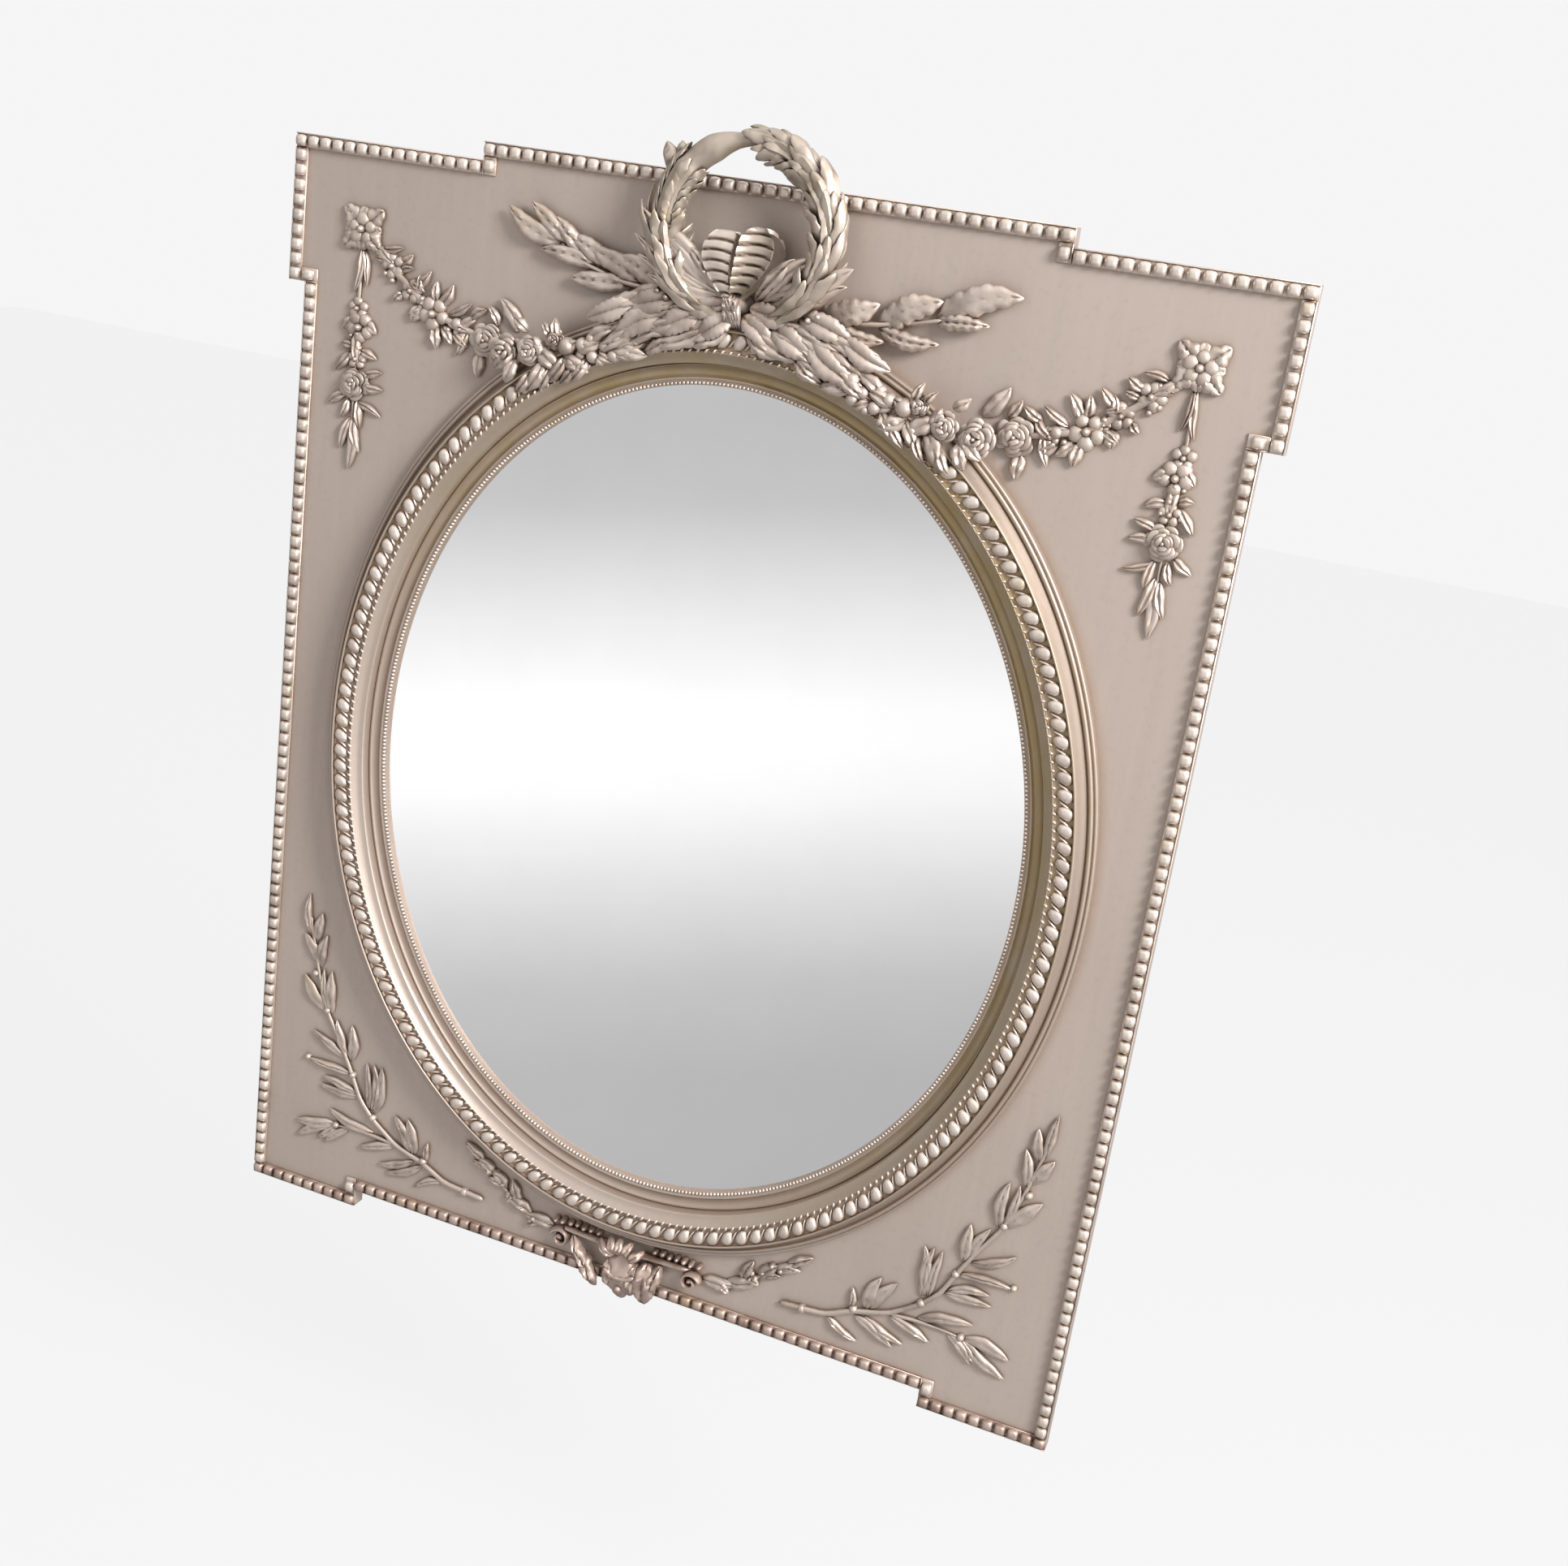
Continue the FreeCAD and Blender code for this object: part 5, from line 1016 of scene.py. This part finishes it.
# The left loop's paler gilt is painted light, and the right loop's browner gilt is painted
# shade.
LOOPS = {                   # bow sideways, half width, height, depth, cup; finish
    "left": ((-18, 14.5, 59, 28, -2), BEAD_GILT),
    "right": ((15, 18, 62, 24, 5), WREATH_GILT),
}
for name, (loop, finish) in LOOPS.items():
    make_piece(name + "_bow_loop", [ribbon_loop(*loop)], finish, "ribbon_" + name + "_loop")

# %% Knot
KNOT = (0, KNOT_UP, RIGHT)
pleats = [(-4 + tip * 0.35, 8, -3 + tip * 0.6, -16, 5) for tip in (-11, -7, -3, 0, 3, 7, 11)]
folds = [(-4 + tip, 12 - abs(tip) * 0.3, -3.5 + tip * 0.4, -6, 4.5)
         for tip in (-6, -3, 0, 3, 6)]
parts = [leaves(KNOT, pleats, 5, lift=27, tip_lift=-3, arch=3, groove=0.1, bend=0),
         leaves(KNOT, folds, 5, lift=31, tip_lift=-4, arch=4, groove=0.1, bend=0)]
parts += berries(KNOT, [(-4, 2, 8, 32)])
make_piece("knot_carving", parts, GILT, "ribbon_knot")

# %% [markdown]
# ## Laurel sprays
# Below the wreath a long spray reaches out from the knot on each side, and shorter leaves
# lie on top of the oval moulding. The two sprays differ, as they do on the real board, so
# each has its own tables. The leaves on the oval are the same on both sides.

# %% Tables of the sprays and of the leaves on the oval
# All are mm from the knot: sprays outwards, the two fans as they lie on the board.
LEFT_SPRAY_STEM = [(8, 0), (60, 1), (112, 4), (150, 14), (174, 28)]
RIGHT_SPRAY_STEM = [(8, 0), (60, 1), (112, 4), (166, 16)]
LEFT_SPRAY_LEAVES = [
    (168, 26, 226, 51, 18), (160, 26, 204, 57, 15), (146, 20, 180, 48, 14),
    (138, 12, 192, 20, 15), (106, 2, 162, 1, 17), (124, 12, 166, 34, 16),
    (98, 6, 146, 28, 18), (72, 3, 122, 24, 19), (58, 0, 112, -12, 20), (40, 2, 84, 22, 18),
]
RIGHT_SPRAY_LEAVES = [
    (158, 16, 226, 42, 23), (158, 14, 203, 17, 13), (112, 3, 163, 30, 22),
    (112, 2, 165, -3, 14), (60, 4, 112, 20, 22), (66, 2, 120, -8, 15), (50, -2, 106, -22, 17),
    (26, 4, 70, 24, 17),
]
CREST_LEAVES = [
    (4, -6, 62, -34, 16), (18, -14, 82, -40, 14), (30, -8, 96, -34, 15),
    (44, -20, 104, -46, 13), (8, -18, 44, -34, 12), (40, -4, 108, -22, 16),
    (60, -14, 118, -40, 15), (84, -26, 124, -54, 13), (70, -8, 122, -18, 14),
    (24, -2, 74, -12, 15), (52, -30, 80, -48, 12),
]
LEFT_FAN = [
    (-10, 8, -94, 68, 16), (-12, 6, -95, 46, 15), (-14, 8, -80, 60, 17),
    (-14, 8, -66, 50, 15), (-12, 8, -48, 44, 12), (-14, 2, -90, 30, 14),
    (-12, 6, -80, 16, 14),
]
RIGHT_FAN = [(18, 6, 93, 44, 24), (12, 8, 44, 45, 14), (16, 6, 66, 50, 15),
             (30, 10, 90, 30, 16), (14, 2, 76, 20, 14)]
BROAD_LEAVES = [(4, -6, 34, -28, 19), (30, -8, 70, -30, 21), (62, -14, 108, -42, 21),
                (52, 2, 102, -14, 20), (90, -8, 134, -28, 18), (10, 2, 54, -4, 18)]
CREST_BERRIES = [(58, -28, 5, 8), (70, -24, 5, 8), (82, -34, 5, 8), (62, 0, 4, 12),
                 (70, 4, 4, 12)]

# %% Build the sprays
LEFT_KNOT = (0, KNOT_UP, LEFT)
parts = [stem(LEFT_KNOT, LEFT_SPRAY_STEM, 6, 6, lift=4),
         leaves(LEFT_KNOT, LEFT_SPRAY_LEAVES, 6, lift=2, tip_lift=5, arch=3, groove=0.4,
                teeth=6, tooth=0.10, blunt=0.3, rings=30),
         leaves(KNOT, LEFT_FAN, 6, lift=24, tip_lift=9, arch=5, groove=0.3, bend=0.06)]
make_piece("left_spray_carving", parts, GILT, "left_laurel_spray")

parts = [stem(KNOT, RIGHT_SPRAY_STEM, 6, 6, lift=4),
         leaves(KNOT, RIGHT_SPRAY_LEAVES, 7, lift=2, tip_lift=5, arch=4, teeth=6,
                tooth=0.24, groove=0.35, rings=34, blunt=0.3),
         leaves(KNOT, RIGHT_FAN, 6, lift=20, tip_lift=9, arch=5, teeth=6, tooth=0.15)]
make_piece("right_spray_carving", parts, GILT, "right_laurel_spray")

# %% Build the leaves on the oval's top
for name, spot in (("left", LEFT_KNOT), ("right", KNOT)):
    parts = [leaves(spot, CREST_LEAVES, 6, lift=CREST_HIGH - 4, tip_lift=1, arch=5,
                    groove=0.4, teeth=5, ragged=0.12),
             leaves(spot, BROAD_LEAVES, 3.4, lift=CREST_HIGH + 1, tip_lift=-1, arch=5,
                    groove=0.8, teeth=8, tooth=0.14, ragged=0.05, blunt=0.35, rings=34)]
    parts += berries(spot, CREST_BERRIES, CREST_HIGH - 2)
    make_piece(name + "_crest_carving", parts, GILT, name + "_crest_foliage")

# %% [markdown]
# ## Cartouche
# A palmette of five lobes with a scroll at each side sits on the middle of the bottom
# edge, and leafy sprigs run from the scrolls along the foot of the oval. A scroll is only
# a stem whose line is a spiral, so it needs no kind of surface of its own.

# %% Tables of the cartouche and sprigs
# All are mm from the middle of the board's bottom edge.
BOTTOM_UP = 18
SHIELD = [(0, 40, 0, -14, 28), (-14, 30, -9, -6, 14), (13, 30, 10, -8, 14)]
HORNS = [(-56, 40, -31, 6, 12), (-42, 26, -26, -8, 14), (24, 36, 25, -10, 23),
         (38, 38, 30, 4, 12)]
PALMETTE = [(-8, 36, -26, 47, 10), (-6, 38, -15, 54, 10), (-2, 38, -4, 56, 10),
            (2, 38, 8, 55, 10), (6, 36, 21, 49, 10)]
COLLAR = [(-17, 22), (-10, 16), (0, 14), (10, 16), (17, 22)]
BAND = [(12, 40), (30, 41), (52, 42), (68, 43)]
SPRIG_STEM = [(80, 38), (110, 42), (138, 60), (166, 84)]
SPRIG_LEAVES = [
    (78, 36, 112, 40, 14), (96, 36, 108, 30, 10), (104, 42, 134, 54, 14),
    (120, 48, 128, 72, 12), (124, 52, 136, 50, 11), (134, 58, 152, 76, 13),
    (136, 60, 156, 66, 10), (148, 70, 168, 84, 12), (152, 74, 174, 78, 9),
    (160, 80, 184, 96, 10),
]
SPRIG_BERRIES = [(102, 38, 3.5, 7), (116, 46, 3, 6), (138, 64, 3.4, 7), (146, 74, 3.4, 7),
                 (155, 72, 3.4, 7), (148, 66, 3, 6), (165, 75, 3.2, 6)]


# %% Build the cartouche
def scroll(spot, across, up, mirror, rise):
    """A spiral scroll: a stem whose line winds in from a radius of 11 mm."""
    turn = np.linspace(0, 3.6 * np.pi, 60)
    radius = 11.0 * (1 - turn / (4.2 * np.pi)) + 0.6
    line = np.stack([across + mirror * radius * np.cos(turn), up + radius * np.sin(turn)],
                    axis=-1)
    return stem(spot, line, 4.8, rise, taper=0.2)


foot = (0, BOTTOM_UP, RIGHT)
parts = [leaves(foot, SHIELD, 9, lift=5, tip_lift=-2, arch=5, groove=0.25, bend=0, teeth=4,
                tooth=0.30, blunt=0.3, ragged=0.12),
         leaves(foot, HORNS, 8, lift=5, tip_lift=1, arch=6, groove=0.4, bend=0, teeth=4,
                tooth=0.2, blunt=0.3, ragged=0.12),
         leaves(foot, PALMETTE, 6, lift=12, tip_lift=-2, arch=5, groove=0.3, bend=0,
                blunt=0.8),
         stem(foot, COLLAR, 5, 5, lift=14, taper=0.0)]
buds = [(side * (30 + 7.6 * step), 48.5 + random.uniform(-1, 1), random.uniform(2.6, 3.8),
         random.uniform(8, 12)) for side in (LEFT, RIGHT) for step in range(7)]
parts += berries(foot, buds + [(0, 2, 6, 18), (-70, 32, 3.4, 11), (69, 32, 3.4, 11)])
parts += [scroll(foot, side * 69, 31, side, 12) for side in (LEFT, RIGHT)]
parts += [stem(foot, [(side * across, up) for across, up in BAND], 5, 10, taper=0)
          for side in (LEFT, RIGHT)]
make_piece("cartouche_carving", parts, WORN_AND_SHADED_GILT, "bottom_cartouche")

# %% Build the bottom sprigs
for name, mirror in (("left", LEFT), ("right", RIGHT)):
    spot = (0, BOTTOM_UP, mirror)
    parts = [stem(spot, SPRIG_STEM, 5, 4),
             leaves(spot, SPRIG_LEAVES, 5, tip_lift=2.5, teeth=3, tooth=0.12)]
    parts += blossom(spot, (127, 54, 8, 8)) + berries(spot, SPRIG_BERRIES)
    make_piece(name + "_sprig_carving", parts, GILT, name + "_bottom_sprig")

# %% [markdown]
# ## CAD pieces that stay
# The board, battens, glass and hardware already have their right shapes. Building them
# again would risk a piece that no longer fits, so they only get their finishes.

# %% Finishes on the CAD pieces
FINISH_OF = {"face_panel": PAINT, "mirror_glass": GLASS, "backing_board": BACK_WOOD,
             "top_rail": RAIL_WOOD, "bottom_rail": RAIL_WOOD, "left_stile": STILE_WOOD,
             "right_stile": STILE_WOOD, "hanger_screws": STEEL, "turn_button_screws": STEEL}
for name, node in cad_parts.items():
    if node.hide_render:
        continue
    finish = FINISH_OF.get(name, BRASS)
    node.data.materials.clear()
    node.data.materials.append(finish)
    print(name, "->", finish.name)

# %% [markdown]
# ## Studio
# A pale floor lies below the hung mirror, and the world is an even pale studio. A large
# soft lamp stands high on the right. What the glass shows is the studio's far side: pale
# grey with one broad bright band. Real walls and windows would do it too, but they would
# also light the board, so the band is in the world and only glossy rays see it.

# %% Floor
FLOOR_UP, FLOOR_HALF = -1.45, 9.0


def pale_floor():
    """Matt floor for light and shadow; clear to mirrors, so they see the studio beyond."""
    finish = bpy.data.materials.new("pale_floor")
    finish.use_nodes = True
    finish.node_tree.nodes.clear()
    _, add = node_kit(finish.node_tree)
    ray = add("LightPath").outputs
    matt = add("BsdfDiffuse", {"Color": (0.86, 0.86, 0.86, 1)}).outputs[0]
    glow = add("Emission", {"Color": (0.926, 0.926, 0.926, 1)}).outputs[0]
    clear = add("BsdfTransparent").outputs[0]
    part = add("Math", {0: ray["Is Camera Ray"], 1: 0.9}, operation="MULTIPLY").outputs[0]
    seen = add("MixShader", {0: part, 1: matt, 2: glow}).outputs[0]
    seen = add("MixShader", {0: ray["Is Glossy Ray"], 1: seen, 2: clear}).outputs[0]
    add("OutputMaterial", {"Surface": seen})
    return finish


floor_mesh = bpy.data.meshes.new("floor")
floor_mesh.from_pydata([(FLOOR_HALF * x, FLOOR_HALF * y, FLOOR_UP)
                        for x, y in ((-1, -1), (1, -1), (1, 1), (-1, 1))],
                       [], [(0, 1, 2, 3)])
floor_mesh.materials.append(pale_floor())
floor = bpy.data.objects.new("floor", floor_mesh)
bpy.context.scene.collection.objects.link(floor)
print("floor at", FLOOR_UP, "m")

# %% World
# What the glass shows: (place, level) up the bright band's axis, and across the studio.
BAND_AXIS = (-0.2335, -0.2391, 0.9425)
BAND_LEVELS = [
    (0.0, 0.12), (0.20, 0.20), (0.34, 0.43), (0.40, 0.485), (0.4225, 0.49), (0.4465, 0.56),
    (0.4715, 0.755), (0.4962, 0.97), (0.51, 1.02), (0.521, 1.01), (0.546, 0.83),
    (0.575, 0.56), (0.60, 0.515), (0.66, 0.62), (0.75, 0.95), (1.0, 1.35),
]
ACROSS_LEVELS = [(0, 0.25), (0.14, 0.27), (0.21, 0.46), (0.54, 0.46), (0.80, 1.0)]
MIDDLE_LEVEL = 0.46         # the band's own levels hold where the curve has this value
ROOM, SKY = (0.56, 0.56, 0.57, 1), (0.916, 0.916, 0.916, 1)

world = bpy.data.worlds.new("studio")
bpy.context.scene.world = world
world.use_nodes = True
feed, add = node_kit(world.node_tree)
ray = add("LightPath").outputs
way = add("TexCoord").outputs["Generated"]
along = add("VectorMath", {0: way, 1: BAND_AXIS}, operation="DOT_PRODUCT").outputs["Value"]
along = add("MapRange", {"Value": along, "From Min": -1.0}).outputs["Result"]
band = ramp(add, along, *((place, (level, level, level * 1.005))
                          for place, level in BAND_LEVELS))
across = add("SeparateXYZ", {0: way}).outputs["X"]
across = add("MapRange", {"Value": across, "From Min": -1.0}).outputs["Result"]
sides = add("FloatCurve", {"Value": across})
points = sides.mapping.curves[0].points
for _ in ACROSS_LEVELS[2:]:
    points.new(0.5, 0.5)
for point, place in zip(points, ACROSS_LEVELS):
    point.location = place
sides.mapping.update()
bright = add("Math", {0: sides.outputs["Value"], 1: 1 / MIDDLE_LEVEL}, operation="MULTIPLY")
shown = add("VectorMath", {0: band, "Scale": bright.outputs[0]}, operation="SCALE").outputs[0]
seen = mixed(add, ray["Is Glossy Ray"], ROOM, shown)
seen = mixed(add, ray["Is Camera Ray"], seen, SKY)
feed(world.node_tree.nodes["Background"], {"Color": seen})
print("world nodes:", len(world.node_tree.nodes))

# %% Lamp
def soft_lamp(name, place, aim, size, power):
    """A square area lamp that faces its aim."""
    data = bpy.data.lights.new(name, "AREA")
    data.size, data.energy = size, power
    lamp = bpy.data.objects.new(name, data)
    way = np.array(aim, float) - np.array(place, float)
    flat = math.hypot(way[0], way[1])
    lamp.location = place
    lamp.rotation_euler = (math.atan2(flat, -way[2]), 0, math.atan2(-way[0], way[1]))
    bpy.context.scene.collection.objects.link(lamp)
    print(name, "%g m square, %g W" % (size, power))


soft_lamp("key_lamp", (2.4, -1.35, 1.2), (0.05, 0, -0.40), 0.9, 113)

# %% [markdown]
# ## Camera
# A long lens from far away would be easier to set, but the picture shows the mirror from
# the right and close by. The camera's place, turn and lens are those at which the board's
# corners fall where the picture has them.

# %% Camera
camera_data = bpy.data.cameras.new("photo_camera")
camera_data.lens, camera_data.sensor_width = 42.356, 36.0
camera = bpy.data.objects.new("photo_camera", camera_data)
camera.location = (0.57337, -1.4702, 0.06907)
camera.rotation_euler = tuple(math.radians(angle) for angle in (72.1007, -7.9347, 21.1805))
bpy.context.scene.collection.objects.link(camera)
bpy.context.scene.camera = camera
bpy.context.scene.view_settings.view_transform = "Standard"
print("camera at", tuple(camera.location))
